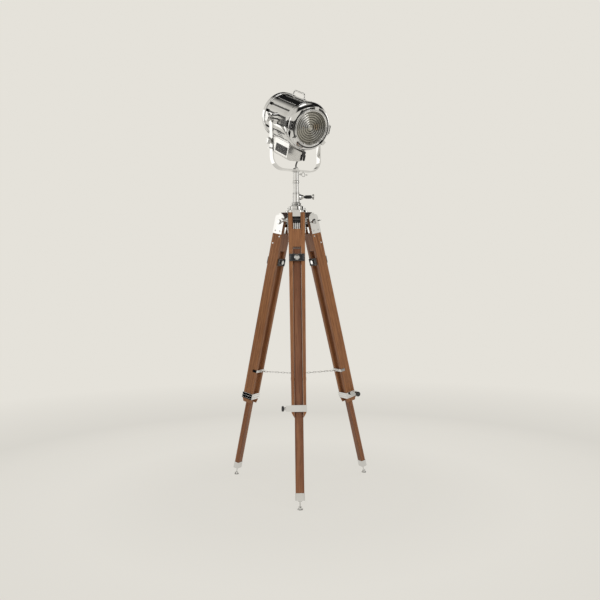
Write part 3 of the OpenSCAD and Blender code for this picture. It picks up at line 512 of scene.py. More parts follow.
class Effects:
    """Shader node groups that several finishes share."""

    def __init__(self) -> None:
        """Builds every group once."""
        self.haze = self._haze()
        self.grain = self._grain()
        self.wear = self._wear()
        self.dimple = self._dimple()

    @staticmethod
    def _group(name: str, inputs: dict[str, str], outputs: dict[str, str]) -> tuple[Sheet, dict]:
        """Starts a group with named sockets.

        Args:
            name: The group's name.
            inputs: Socket types by name.
            outputs: Socket types by name.

        Returns:
            The group's sheet, and its two end nodes as "in" and "out".
        """
        tree = bpy.data.node_groups.new(name, "ShaderNodeTree")
        sheet = Sheet(tree)
        for way, sockets in (("INPUT", inputs), ("OUTPUT", outputs)):
            for label, kind in sockets.items():
                tree.interface.new_socket(name=label, in_out=way, socket_type=kind)
        ends = {"in": sheet.put("NodeGroupInput"), "out": sheet.put("NodeGroupOutput")}
        return sheet, ends

    def _haze(self) -> Tree:
        """Faint smears and fine dust on a polished surface, as a roughness and a tint mask."""
        sheet, ends = self._group(
            "polish_haze",
            {"Vector": "NodeSocketVector", "Scale": "NodeSocketFloat", "Clean": "NodeSocketFloat",
             "Smeared": "NodeSocketFloat"},
            {"Roughness": "NodeSocketFloat", "Smear": "NodeSocketFloat"})
        start = ends["in"].outputs
        stretch = sheet.put("ShaderNodeMapping", {"Vector": start["Vector"], "Scale": (1, 1, 0.45)})
        cloud = sheet.put("ShaderNodeTexNoise", {"Vector": stretch.outputs[0], "Scale": start["Scale"],
                                                 "Detail": 5.0, "Roughness": 0.62, "Distortion": 0.6})
        fine = sheet.noise(start["Vector"], 900, 2)
        smear = sheet.ramp(cloud.outputs["Fac"], 0.42, 0.74, 0, 1)
        speck = sheet.ramp(fine, 0.66, 0.78, 0, 0.5)
        both = sheet.math("MAXIMUM", smear, speck)
        rough = sheet.put("ShaderNodeMapRange", {"Value": both, "To Min": start["Clean"],
                                                 "To Max": start["Smeared"]})
        sheet.wire(ends["out"], Roughness=rough.outputs["Result"], Smear=both)
        return sheet.tree

    def _grain(self) -> Tree:
        """Long wood grain along Z with pores, streaks and slow changes of shade."""
        sheet, ends = self._group(
            "wood_grain",
            {"Vector": "NodeSocketVector", "Light": "NodeSocketColor", "Middle": "NodeSocketColor",
             "Dark": "NodeSocketColor"},
            {"Color": "NodeSocketColor", "Height": "NodeSocketFloat", "Roughness": "NodeSocketFloat"})
        start = ends["in"].outputs
        long = sheet.put("ShaderNodeMapping", {"Vector": start["Vector"], "Scale": (1, 1, 0.055)})
        figure = sheet.put("ShaderNodeTexNoise", {"Vector": long.outputs[0], "Scale": 95.0, "Detail": 6.0,
                                                  "Roughness": 0.6, "Distortion": 1.4})
        rings = sheet.put("ShaderNodeTexWave",
                          {"Vector": long.outputs[0], "Scale": 26.0, "Distortion": 9.0, "Detail": 3.0,
                           "Detail Scale": 1.6, "Detail Roughness": 0.6}, bands_direction="X")
        strands = sheet.put("ShaderNodeMapping", {"Vector": start["Vector"], "Scale": (1, 1, 0.018)})
        pores = sheet.noise(strands.outputs[0], 900, 3, 0.65)
        slow = sheet.noise(start["Vector"], 3.2, 2)
        tone = sheet.math("ADD", sheet.math("MULTIPLY", figure.outputs["Fac"], 0.62),
                          sheet.math("MULTIPLY", rings.outputs["Fac"], 0.3))
        tone = sheet.math("ADD", tone, sheet.math("MULTIPLY", slow, 0.22))
        base = sheet.blend(sheet.ramp(tone, 0.36, 0.74, 0, 1), start["Middle"], start["Light"])
        pore = sheet.ramp(pores, 0.54, 0.68, 0, 0.78)
        streak = sheet.ramp(figure.outputs["Fac"], 0.36, 0.24, 0, 0.85)
        shade = sheet.blend(sheet.math("MAXIMUM", pore, streak), base, start["Dark"])
        sheet.wire(ends["out"], Color=shade, Height=sheet.math("SUBTRACT", 1.0, pore),
                   Roughness=sheet.ramp(pore, 0, 1, 0.34, 0.6))
        return sheet.tree

    def _wear(self) -> Tree:
        """Worn edges, from how sharply the surface bends, broken up by noise."""
        sheet, ends = self._group(
            "edge_wear", {"Vector": "NodeSocketVector", "Amount": "NodeSocketFloat"},
            {"Mask": "NodeSocketFloat"})
        start = ends["in"].outputs
        bend = sheet.put("ShaderNodeNewGeometry").outputs["Pointiness"]
        edge = sheet.ramp(bend, 0.515, 0.58, 0, 1)
        broken = sheet.ramp(sheet.noise(start["Vector"], 260, 4), 0.4, 0.62, 0, 1)
        mask = sheet.math("MULTIPLY", sheet.math("MULTIPLY", edge, broken), start["Amount"])
        sheet.wire(ends["out"], Mask=mask)
        return sheet.tree

    def _dimple(self) -> Tree:
        """Fine moulded or sprayed texture, as a height."""
        sheet, ends = self._group("fine_texture", {"Vector": "NodeSocketVector", "Scale": "NodeSocketFloat"},
                                  {"Height": "NodeSocketFloat"})
        start = ends["in"].outputs
        cells = sheet.put("ShaderNodeTexVoronoi", {"Vector": start["Vector"], "Scale": start["Scale"]})
        soft = sheet.noise(start["Vector"], 420, 3)
        height = sheet.math("ADD", sheet.math("MULTIPLY", cells.outputs["Distance"], 0.5), soft)
        sheet.wire(ends["out"], Height=height)
        return sheet.tree


class Finish:
    """A material in the making: its sheet, its coordinates and its Principled shader."""

    def __init__(self, name: str, turn: Matrix | None = None) -> None:
        """Starts a material on Object coordinates.

        Args:
            name: The material's name.
            turn: A frame whose own axes the pattern follows; the lamp's if it is left out.
        """
        self.material = bpy.data.materials.new(name)
        self.material.use_nodes = True
        self.sheet = Sheet(self.material.node_tree)
        where = self.sheet.put("ShaderNodeTexCoord").outputs["Object"]
        if turn is not None:
            rest = turn.inverted()
            mapping = self.sheet.put("ShaderNodeMapping", {
                "Vector": where, "Location": rest.to_translation(), "Rotation": rest.to_euler("XYZ")})
            where = mapping.outputs[0]
        self.where = where
        self.shader = self.sheet.put("ShaderNodeBsdfPrincipled")
        self.output = self.sheet.put("ShaderNodeOutputMaterial", {"Surface": self.shader.outputs[0]})

    def group(self, tree: Tree, **inputs: object) -> Node:
        """Places an effect's group on the sheet.

        Args:
            tree: The effect's group.
            **inputs: Values or sockets for its inputs, in lower case.

        Returns:
            The group's node, fed by this material's coordinates.
        """
        node = self.sheet.tree.nodes.new("ShaderNodeGroup")
        node.node_tree = tree
        for key, value in {"vector": self.where, **inputs}.items():
            socket = node.inputs[key.capitalize()]
            if isinstance(value, Socket):
                self.sheet.tree.links.new(value, socket)
            else:
                socket.default_value = value
        return node

    def feed(self, **sockets: Socket) -> None:
        """Wires sockets to the shader's inputs, named with underscores for spaces."""
        self.sheet.wire(self.shader, **sockets)

    def set(self, **values: object) -> None:
        """Sets constants on the shader's own inputs, named with underscores for spaces."""
        for key, value in values.items():
            self.shader.inputs[key.replace("_", " ")].default_value = value

    def bump(self, height: Socket, strength: float, distance: float) -> None:
        """Feeds a height to the normal, with its depth in millimetres."""
        node = self.sheet.put("ShaderNodeBump", {"Height": height, "Strength": strength,
                                                 "Distance": distance * MM})
        self.feed(Normal=node.outputs["Normal"])


@dataclass(frozen=True)
class Plating:
    """Polished plate on metal: mirror bright, with faint smears and a little warmth in them."""

    name: str
    colour: Colour = (0.76, 0.76, 0.755, 1)
    smeared: Colour = (0.64, 0.635, 0.62, 1)
    clean: float = 0.04
    rough: float = 0.13

    def build(self, effects: Effects) -> Material:
        """Returns the finish as a material."""
        finish = Finish(self.name)
        haze = finish.group(effects.haze, scale=11.0, clean=self.clean, smeared=self.rough)
        tint = finish.sheet.blend(haze.outputs["Smear"], self.colour, self.smeared)
        finish.feed(Base_Color=tint, Roughness=haze.outputs["Roughness"])
        finish.set(Metallic=1.0)
        return finish.material


@dataclass(frozen=True)
class BareMetal:
    """Machined or rolled metal with fine lines across it."""

    name: str
    colour: Colour
    dark: Colour
    clean: float = 0.24
    rough: float = 0.42

    def build(self, effects: Effects) -> Material:
        """Returns the finish as a material."""
        finish = Finish(self.name)
        haze = finish.group(effects.haze, scale=24.0, clean=self.clean, smeared=self.rough)
        finish.feed(Base_Color=finish.sheet.blend(haze.outputs["Smear"], self.colour, self.dark),
                    Roughness=haze.outputs["Roughness"])
        lines = finish.sheet.put("ShaderNodeMapping", {"Vector": finish.where, "Scale": (1, 1, 0.06)})
        finish.bump(finish.sheet.noise(lines.outputs[0], 2200, 2), 0.25, 0.05)
        finish.set(Metallic=1.0)
        return finish.material


@dataclass(frozen=True)
class Timber:
    """Lacquered hardwood whose grain follows one frame."""

    name: str
    light: Colour
    middle: Colour
    dark: Colour
    lacquer: float = 0.08

    def build(self, effects: Effects, turn: Matrix) -> Material:
        """Returns the finish as a material, with its grain along the frame's Z."""
        finish = Finish(self.name, turn)
        grain = finish.group(effects.grain, light=self.light, middle=self.middle, dark=self.dark)
        wear = finish.group(effects.wear, amount=0.5)
        worn = finish.sheet.blend(wear.outputs["Mask"], grain.outputs["Color"], self.light)
        finish.feed(Base_Color=worn, Roughness=grain.outputs["Roughness"])
        finish.bump(grain.outputs["Height"], 0.28, 0.25)
        finish.set(Coat_Weight=self.lacquer, Coat_Roughness=0.3, Specular_IOR_Level=0.22)
        return finish.material


@dataclass(frozen=True)
class Moulding:
    """Moulded plastic, rubber or glazed ware: one body colour with handling marks."""

    name: str
    colour: Colour
    marked: Colour
    clean: float
    rough: float
    texture: float = 0.02
    coat: float = 0.0

    def build(self, effects: Effects) -> Material:
        """Returns the finish as a material."""
        finish = Finish(self.name)
        haze = finish.group(effects.haze, scale=30.0, clean=self.clean, smeared=self.rough)
        finish.feed(Base_Color=finish.sheet.blend(haze.outputs["Smear"], self.colour, self.marked),
                    Roughness=haze.outputs["Roughness"])
        dimple = finish.group(effects.dimple, scale=1400.0)
        finish.bump(dimple.outputs["Height"], 0.3, self.texture)
        finish.set(Coat_Weight=self.coat, Coat_Roughness=0.08)
        return finish.material


@dataclass(frozen=True)
class Paint:
    """Sprayed paint that has rubbed through to the metal at its edges."""

    name: str
    colour: Colour
    metal: Colour = (0.45, 0.44, 0.42, 1)

    def build(self, effects: Effects) -> Material:
        """Returns the finish as a material."""
        finish = Finish(self.name)
        haze = finish.group(effects.haze, scale=26.0, clean=0.34, smeared=0.52)
        wear = finish.group(effects.wear, amount=0.55)
        finish.feed(Base_Color=finish.sheet.blend(wear.outputs["Mask"], self.colour, self.metal),
                    Metallic=wear.outputs["Mask"], Roughness=haze.outputs["Roughness"])
        dimple = finish.group(effects.dimple, scale=1900.0)
        finish.bump(dimple.outputs["Height"], 0.35, 0.03)
        return finish.material


@dataclass(frozen=True)
class ClearGlass:
    """Pressed or blown glass that lets the lamp's light out and in."""

    name: str
    colour: Colour
    roughness: float
    waviness: float = 0.04

    def build(self, effects: Effects) -> Material:
        """Returns the finish as a material; shadows pass through it."""
        finish = Finish(self.name)
        haze = finish.group(effects.haze, scale=18.0, clean=self.roughness, smeared=self.roughness + 0.08)
        finish.feed(Roughness=haze.outputs["Roughness"])
        finish.bump(finish.sheet.noise(finish.where, 130, 2), 0.2, self.waviness)
        finish.set(Base_Color=self.colour, Transmission_Weight=1.0, IOR=1.5)
        sheet = finish.sheet
        clear = sheet.put("ShaderNodeBsdfTransparent", {"Color": self.colour})
        shadow = sheet.put("ShaderNodeLightPath").outputs["Is Shadow Ray"]
        mixed = sheet.put("ShaderNodeMixShader", {0: shadow, 1: finish.shader.outputs[0],
                                                  2: clear.outputs[0]})
        sheet.wire(finish.output, Surface=mixed.outputs[0])
        return finish.material


@dataclass(frozen=True)
class PressedLens:
    """Pressed stepped glass that lets some light through; its rings show as light and dark bands, with
    painted shade on the ring risers, painted reflections as pale sectors round the axis and a painted warm
    glow of the coil right of the centre.
    """

    name: str
    pale: Colour
    deep: Colour
    warm: Colour
    centre: float
    pitch: float
    shadow: Colour = (0.12, 0.115, 0.095, 1)
    riser: float = 0.9
    highlight_lobe_turn: float = 2.7
    glow_patch: tuple = (5, 16, 30, 50)
    glow_patch_level: tuple = (6, 5, 18)

    def build(self, effects: Effects, turn: Matrix) -> Material:
        """Returns the finish as a material, with its rings about the frame's Y."""
        finish = Finish(self.name, turn)
        sheet = finish.sheet
        parts = sheet.put("ShaderNodeSeparateXYZ", {"Vector": finish.where}).outputs
        squares = [sheet.math("POWER", parts[way], 2.0) for way in ("X", "Z")]
        radius = sheet.math("SQRT", sheet.math("ADD", *squares))
        rings = sheet.math("DIVIDE", sheet.math("SUBTRACT", radius, self.centre * MM), self.pitch * MM)
        share = sheet.math("FRACT", rings)
        # Painted shade: dark bands on the ring risers.
        riser = sheet.math("MAXIMUM", sheet.ramp(share, 0.52, 0.34, 0, self.riser),
                           sheet.ramp(share, 0.90, 0.99, 0, self.riser))
        ringed = sheet.ramp(radius, 0.8 * self.centre * MM, self.centre * MM, 0, 1)
        riser_shade = sheet.math("MULTIPLY", ringed, riser)
        haze = finish.group(effects.haze, scale=18.0, clean=0.13, smeared=0.22)
        # Painted reflection: pale and deep sectors by angle round the axis stand in for reflections on the
        # rings.
        angle = sheet.math("ARCTAN2", parts["Z"], parts["X"])
        doubled = sheet.math("MULTIPLY", sheet.math("SUBTRACT", angle, self.highlight_lobe_turn), 2.0)
        body = sheet.blend(sheet.ramp(sheet.math("COSINE", doubled), -0.1, 0.9, 0, 1), self.deep, self.pale)
        # Painted glow: a warm patch right of the centre stands in for the lit coil seen through the glass.
        left, from_left, from_right, right = (edge * MM for edge in self.glow_patch)
        side = sheet.math("MINIMUM", sheet.ramp(parts["X"], left, from_left, 0, 0.75),
                          sheet.ramp(parts["X"], right, from_right, 0, 0.75))
        middle, full, none = (edge * MM for edge in self.glow_patch_level)
        off = sheet.math("ABSOLUTE", sheet.math("SUBTRACT", parts["Z"], middle))
        body = sheet.blend(sheet.math("MULTIPLY", side, sheet.ramp(off, none, full, 0, 1)), body, self.warm)
        tint = sheet.blend(haze.outputs["Smear"], body, self.deep)
        finish.feed(Base_Color=sheet.blend(riser_shade, tint, self.shadow), Roughness=haze.outputs["Roughness"])
        finish.bump(sheet.noise(finish.where, 60, 1), 0.1, 0.03)
        finish.set(Metallic=0.3, Transmission_Weight=0.3, IOR=1.5, Coat_Weight=0.3, Coat_Roughness=0.04)
        return finish.material


@dataclass(frozen=True)
class Glow:
    """The lamp's coil, warm even when it is seen by day."""

    name: str
    colour: Colour
    strength: float

    def build(self, effects: Effects) -> Material:
        """Returns the finish as a material."""
        finish = Finish(self.name)
        haze = finish.group(effects.haze, scale=60.0, clean=0.4, smeared=0.5)
        finish.feed(Roughness=haze.outputs["Roughness"])
        finish.set(Base_Color=self.colour, Emission_Color=self.colour, Emission_Strength=self.strength)
        return finish.material


# ------------------------------------------------------------------ slots and shared parts


class Slot(Enum):
    """The record's material slots."""

    CHROME = "polished_chrome"
    RAIL = "walnut_rail"
    SLIDER = "walnut_slider"
    CROWN = "dark_wood"
    PHENOLIC = "black_phenolic"
    BLACK_STEEL = "black_steel"
    RUBBER = "black_rubber"
    LENS = "lens_glass"
    BULB = "bulb_glass"
    CERAMIC = "white_ceramic"
    STEEL = "plain_steel"
    MIRROR = "mirror"


class Leg(Enum):
    """The three legs, by their names in the frame."""

    FRONT = "front"
    RIGHT = "right"
    LEFT = "left"


class Finishes:
    """Every finish of the lamp, each built once."""

    def __init__(self, place: Place) -> None:
        """Builds the materials.

        Args:
            place: The frame's local frames, which the wood grain follows.
        """
        effects = Effects()
        looks = {
            Slot.CHROME: Plating("chrome"),
            Slot.PHENOLIC: Moulding("black_phenolic", (0.010, 0.010, 0.011, 1), (0.028, 0.027, 0.026, 1),
                                    0.10, 0.24, coat=0.5),
            Slot.BLACK_STEEL: Paint("black_satin_paint", (0.016, 0.016, 0.017, 1)),
            Slot.RUBBER: Moulding("black_rubber", (0.018, 0.018, 0.018, 1), (0.045, 0.044, 0.042, 1),
                                  0.55, 0.72, texture=0.05),
            Slot.BULB: ClearGlass("bulb_glass", (1.0, 0.93, 0.78, 1), 0.02, 0.02),
            Slot.CERAMIC: Moulding("glazed_ceramic", (0.78, 0.75, 0.68, 1), (0.60, 0.56, 0.48, 1),
                                   0.16, 0.34, coat=0.4),
            Slot.STEEL: BareMetal("bare_steel", (0.50, 0.49, 0.47, 1), (0.30, 0.29, 0.27, 1)),
            Slot.MIRROR: Plating("mirror_reflector", (0.88, 0.86, 0.80, 1), (0.80, 0.76, 0.66, 1), 0.02,
                                 0.10),
        }
        self.plain = {slot: look.build(effects) for slot, look in looks.items()}
        # The lens's pale colour is painted reflection, its warm colour painted glow and its shadow colour
        # painted shade on the risers.
        lens = PressedLens("lens_glass", (0.97, 0.96, 0.92, 1), (0.50, 0.475, 0.40, 1), (0.72, 0.52, 0.30, 1),
                           13.6, 9.07)
        self.plain[Slot.LENS] = lens.build(effects, place.head())
        # Painted shade: a near-black plate that stands in for the shade in the drum's grooves, the bezel's
        # hollow and the legs' flute gaps.
        self.recess_shade = Plating("painted_recess_shade", (0.10, 0.10, 0.10, 1), (0.05, 0.05, 0.05, 1),
                                   0.25, 0.4).build(effects)
        self.satin = Plating("satin_plate", (0.84, 0.835, 0.82, 1), (0.74, 0.73, 0.70, 1), 0.26,
                             0.34).build(effects)
        self.brass = BareMetal("bulb_cap_brass", (0.62, 0.46, 0.20, 1), (0.38, 0.26, 0.10, 1)).build(effects)
        self.filament = Glow("bulb_coil", (1.0, 0.52, 0.16, 1), 6.0).build(effects)
        rail = Timber("rail_wood", (0.40, 0.178, 0.074, 1), (0.262, 0.106, 0.043, 1),
                      (0.060, 0.022, 0.010, 1))
        slider = Timber("slider_wood", (0.335, 0.145, 0.068, 1), (0.205, 0.080, 0.037, 1),
                        (0.050, 0.019, 0.009, 1))
        crown = Timber("crown_wood", (0.042, 0.018, 0.011, 1), (0.022, 0.010, 0.007, 1),
                       (0.007, 0.004, 0.003, 1), lacquer=0.3)
        self.rail = {}
        self.slider = {}
        for number, leg in enumerate(Leg):
            grain = place.leg(leg.value) @ shifted(0, 31 * number, 700 * number)
            for timber, built in ((rail, self.rail), (slider, self.slider)):
                own = replace(timber, name=f"{timber.name}_{leg.value}")
                built[leg] = own.build(effects, grain)
        self.crown = crown.build(effects, place.mast() @ along("+X"))


@dataclass
class Assembly:
    """What every sub-assembly holds: the frame's places and the lamp's finishes."""

    place: Place
    finishes: Finishes

    def mount(self, piece: Piece, body: str, slot: Slot, *nodes: str,
              finish: Material | None = None) -> Piece:
        """Dresses a finished piece and mounts it on a body.

        Args:
            piece: The piece, in its place.
            body: The body that it rides on.
            slot: The record's slot that its finish belongs to.
            *nodes: The frame's nodes that it stands for.
            finish: Its material, where it isn't the slot's usual one.

        Returns:
            The same piece.
        """
        piece.data.materials.clear()
        piece.data.materials.append(finish or self.finishes.plain[slot])
        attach(piece, body)
        if nodes:
            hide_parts(*nodes)
        LOG.info("%s on %s, %d faces", piece.name, body, len(piece.data.polygons))
        return piece

    def fit(self, piece: Piece, place: Matrix, body: str, slot: Slot, *nodes: str,
            finish: Material | None = None) -> Piece:
        """Puts a finished piece in its place and mounts it there, as mount() does."""
        return self.mount(Bench.settle(piece, place), body, slot, *nodes, finish=finish)

    def keep(self, node: str, body: str, slot: Slot, bevel: float = 0.5, segments: int = 2,
             finish: Material | None = None, angle: float = 32) -> Piece:
        """Stands a bevelled copy of a node in for it, where its form is already right.

        Args:
            node: The frame's node.
            body: The body that it rides on.
            slot: The record's slot that its finish belongs to.
            bevel: The width of its rounded edges, in millimetres.
            segments: How many faces each rounded edge has.
            finish: Its material, where it isn't the slot's usual one.
            angle: The least angle that counts as an edge, in degrees.

        Returns:
            The mounted copy.
        """
        piece = Bench.bevelled(Bench.refined(f"{node}_body", node), bevel, segments, angle)
        return self.mount(piece, body, slot, node, finish=finish)


def arc(x: float, z: float, radius: float, start: float, end: float, steps: int = 8) -> list[tuple]:
    """Returns the points of an arc in an outline.

    Args:
        x: The centre's radius from the turning axis, in millimetres.
        z: The centre's height, in millimetres.
        radius: The arc's own radius.
        start: Where it starts, in degrees from +X towards +Z.
        end: Where it ends.
        steps: How many straight pieces it has.
    """
    turns = [math.radians(start + (end - start) * step / steps) for step in range(steps + 1)]
    return [(x + radius * math.cos(turn), z + radius * math.sin(turn)) for turn in turns]


def round_about(places: Sequence[float], radius: float, height: float) -> list[Matrix]:
    """Returns places on a circle round Z, facing outwards.

    Args:
        places: Angles in degrees.
        radius: The circle's radius, in millimetres.
        height: Its height, in millimetres.
    """
    return [Matrix.Rotation(math.radians(angle), 4, "Z") @ shifted(radius, 0, height) for angle in places]


def every_other(steps: int, low: float, high: float) -> FaceTest:
    """Returns a test for every second side face of a turned piece.

    Args:
        steps: How many sides the piece has.
        low: The band's lower edge, in millimetres.
        high: The band's upper edge.
    """
    pitch = FULL_TURN / steps

    def test(centre: Vector, normal: Vector) -> bool:
        """Returns whether a face lies in the band and on an even side."""
        side = int((math.atan2(centre.y, centre.x) % FULL_TURN) / pitch)
        return low < centre.z < high and abs(normal.z) < 0.3 and side % 2 == 0

    return test


def about_drum(angle: float, y: float, out: float) -> Matrix:
    """Returns a place on the drum, facing outwards.

    Args:
        angle: How far it is turned about the drum's axis, in degrees from the top.
        y: How far it lies along the axis, in millimetres.
        out: How far it lies from the axis, in millimetres.
    """
    return Matrix.Rotation(math.radians(angle), 4, "Y") @ shifted(0, y, out)


class Fixings:
    """Small turned fixings that several assemblies use, each modelled along +Z from its seat."""

    @staticmethod
    def screw(name: str, radius: float, height: float, slot_width: float = 0.7) -> Piece:
        """Returns a slotted round-head screw.

        Args:
            name: The piece's name.
            radius: The head's radius, in millimetres.
            height: The head's height.
            slot_width: The slot's width.
        """
        dome = arc(0, height - 1.6 * radius, 1.6 * radius, 50, 90, 6)
        edge = min(dome[0][1], height * 0.4)
        head = Bench.turned(name, [(0, -0.3), (radius, -0.3), (radius, edge), *dome], steps=28)
        tool = Bench.box(f"{name}_slot", (-2 * radius, -slot_width / 2, height * 0.45),
                         (2 * radius, slot_width / 2, height * 2))
        return Bench.bevelled(Bench.cut(head, tool), 0.06, 1, 40)

    @staticmethod
    def hex_nut(name: str, radius: float, height: float) -> Piece:
        """Returns a hexagonal nut with chamfered corners, its size over the corners."""
        nut = Bench.turned(name, [(0, 0), (radius, 0), (radius, height), (0, height)], steps=6)
        cone = Bench.turned(f"{name}_cone", [(radius * 1.6, height + 2), (radius * 0.87, height + 2),
                                             (radius * 0.87, height), (radius * 1.6, height * 0.55)],
                            steps=48, ring=True)
        return Bench.bevelled(Bench.cut(nut, cone), 0.12, 1, 25)

    @staticmethod
    def knob(name: str, outline: Profile, steps: int, low: float, high: float, border: float,
             depth: float) -> Piece:
        """Returns a turned knob with flutes round its grip.

        Args:
            name: The piece's name.
            outline: Its half section, in millimetres.
            steps: How many sides it has; every second one becomes a flute.
            low: Where the flutes start.
            high: Where they end.
            border: The width of land left round each flute.
            depth: How deep the flutes are.
        """
        knob = Bench.turned(name, outline, steps=steps)
        Bench.inset(knob, every_other(steps, low, high), border, -depth)
        return Bench.bevelled(knob, 0.22, 2, 28)


# ------------------------------------------------------------------ the stand's head


@dataclass
class Crown(Assembly):
    """The wooden crown, its casting, the hinge barrels and the mast's turned socket."""

    casting_top: float = 1142
    bore: float = 12.6
    sleeve_r: float = 16.4
    sleeve_top: float = 1215
    lock_up: float = 1199
    barrel_r: float = 16
    barrel_half: float = 16.5
    nut_circle: float = 41
    nut_angles: tuple = (-30, 90, 210)
    lock_outline: tuple = ((0, 12.7), (3.4, 12.7), (4, 13.4), (4, 34), (0, 34))

    def build(self) -> None:
        """Builds and mounts the whole stand's head."""
        self.keep("crown_block", "stand", Slot.CROWN, 1.1, 3, self.finishes.crown)
        self.keep("crown_casting", "stand", Slot.CHROME, 0.7, 3)
        self._barrels()
        self._socket()
        self._nuts()
        self._lock()

    def _barrels(self) -> None:
        """Turns the black hinge barrels, with their grooves, one for each leg."""
        half, r = self.barrel_half, self.barrel_r
        outline = [(5.2, -half), (r - 1.2, -half), (r, 1.2 - half)]
        for middle in (-10.5, 10.5):
            outline += [(r, middle - 0.6), (r - 0.7, middle - 0.3), (r - 0.7, middle + 0.3),
                        (r, middle + 0.6)]
        outline += [(r, half - 1.2), (r - 1.2, half), (5.2, half)]
        barrel = Bench.smoothed(Bench.turned("hinge_barrel", outline, 72, ring=True), 30)
        places = [self.place.leg(leg.value) @ along("+Y") for leg in Leg]
        barrels = Bench.spread("hinge_barrels_turned", barrel, places)
        self.mount(barrels, "stand", Slot.PHENOLIC, "hinge_barrels")

    def _socket(self) -> None:
        """Turns the socket: a step, a bulge ring and a sleeve with its boss for the lock screw."""
        top, low = self.sleeve_top, self.casting_top
        outline = [(self.bore, low), (34.6, low), (35, low + 0.4), (35, low + 5), (34.4, low + 5.5),
                   (35, low + 6), *arc(32, low + 14, 3, 0, 90), (20, low + 17), (18.6, low + 18.2),
                   *arc(16.5, low + 25.5, 7, -66, 66, 14), (18.2, low + 33), (18.2, low + 35.4),
                   (self.sleeve_r, low + 36), (self.sleeve_r, top - 6), (self.sleeve_r - 0.6, top - 5.4),
                   (self.sleeve_r - 0.6, top - 4.6), (self.sleeve_r, top - 4), (self.sleeve_r, top - 1.2),
                   (self.sleeve_r - 1.2, top), (self.bore, top)]
        socket = Bench.turned("socket", outline, 128, ring=True)
        boss = Bench.turned("boss", [(4.1, 12.7), (14, 12.7), (13.6, 14.2), (7.2, 30.4), (6.4, 31.4),
                                     (4.1, 31.4)], 64, ring=True)
        Bench.settle(boss, shifted(0, 0, self.lock_up) @ along("+X"))
        whole = Bench.settle(Bench.joined("mast_socket_turned", [boss, socket]), self.place.mast())
        self.mount(Bench.bevelled(whole, 0.2, 2, 28), "stand", Slot.CHROME, "mast_socket")

    def _nuts(self) -> None:
        """Makes the flange's domed nuts."""
        nut = Fixings.hex_nut("nut", 4.6, 4.4)
        dome = Bench.smoothed(Bench.turned("dome", [(0, 3.6), (4.1, 3.6), (4.1, 4.5),
                                                    *arc(0, 5, 3.4, 0, 90)], 32))
        model = Bench.joined("domed_nut", [dome, nut])
        places = [self.place.mast() @ place
                  for place in round_about(self.nut_angles, self.nut_circle, self.casting_top)]
        self.mount(Bench.spread("flange_nuts", model, places), "stand", Slot.CHROME, "mast_socket")

    def _lock(self) -> None:
        """Makes the mast lock: a steel stem, a black fluted grip and a flared end cap."""
        place = self.place.mast() @ shifted(0, 0, self.lock_up) @ along("+X")
        stem = Bench.turned("stem", list(self.lock_outline), 40)
        cap = Bench.turned("cap", [(0, 62.8), (5, 62.8), (5.6, 63.6), (9.6, 66.4), (11.6, 70), (12, 71.6),
                                   (12, 73.2), (11.2, 74.4), (9.6, 75), (8.6, 74.6), (7.4, 73.6),
                                   (0, 73.2)], 72)
        metal = Bench.bevelled(Bench.joined("mast_lock_metal", [stem, cap]), 0.25, 2, 28)
        self.fit(metal, place, "mast_lock", Slot.CHROME, "mast_lock_screw")
        outline = [(0, 32), (4.4, 32), (5.2, 33.2), (7.2, 40), (7.4, 41.4), (7.4, 58.4), (7.4, 60.2),
                   (6.8, 62), (6.2, 62.8), (0, 62.8)]
        grip = Fixings.knob("mast_lock_grip", outline, 40, 41, 60, 0.12, 0.5)
        self.fit(grip, place, "mast_lock", Slot.PHENOLIC, "mast_lock_screw")


@dataclass
class Mast(Assembly):
    """The sliding tube with its stop ring and its spigot."""

    radius: float = 12.5
    bore: float = 3.7
    foot: float = 1006
    stop: float = 1215.4
    shoulder: float = 1256
    spigot_r: float = 10
    top: float = 1302

    def build(self) -> None:
        """Turns and mounts the tube."""
        r, stop, top = self.radius, self.stop, self.shoulder
        outline = [(self.bore, self.foot), (r - 1, self.foot), (r, self.foot + 1), (r, stop),
                   (r + 1.7, stop), (r + 2.2, stop + 0.5), (r + 2.2, stop + 3.4), (r + 1.7, stop + 3.9),
                   (r, stop + 3.9), (r, top - 0.8), (r - 0.8, top), (self.spigot_r, top),
                   (self.spigot_r, self.top - 0.8), (self.spigot_r - 0.8, self.top), (self.bore, self.top)]
        tube = Bench.smoothed(Bench.turned("mast_tube_turned", outline, 96, ring=True), 30)
        self.fit(tube, self.place.mast(), "mast", Slot.CHROME, "mast_tube")


# ------------------------------------------------------------------ the yoke


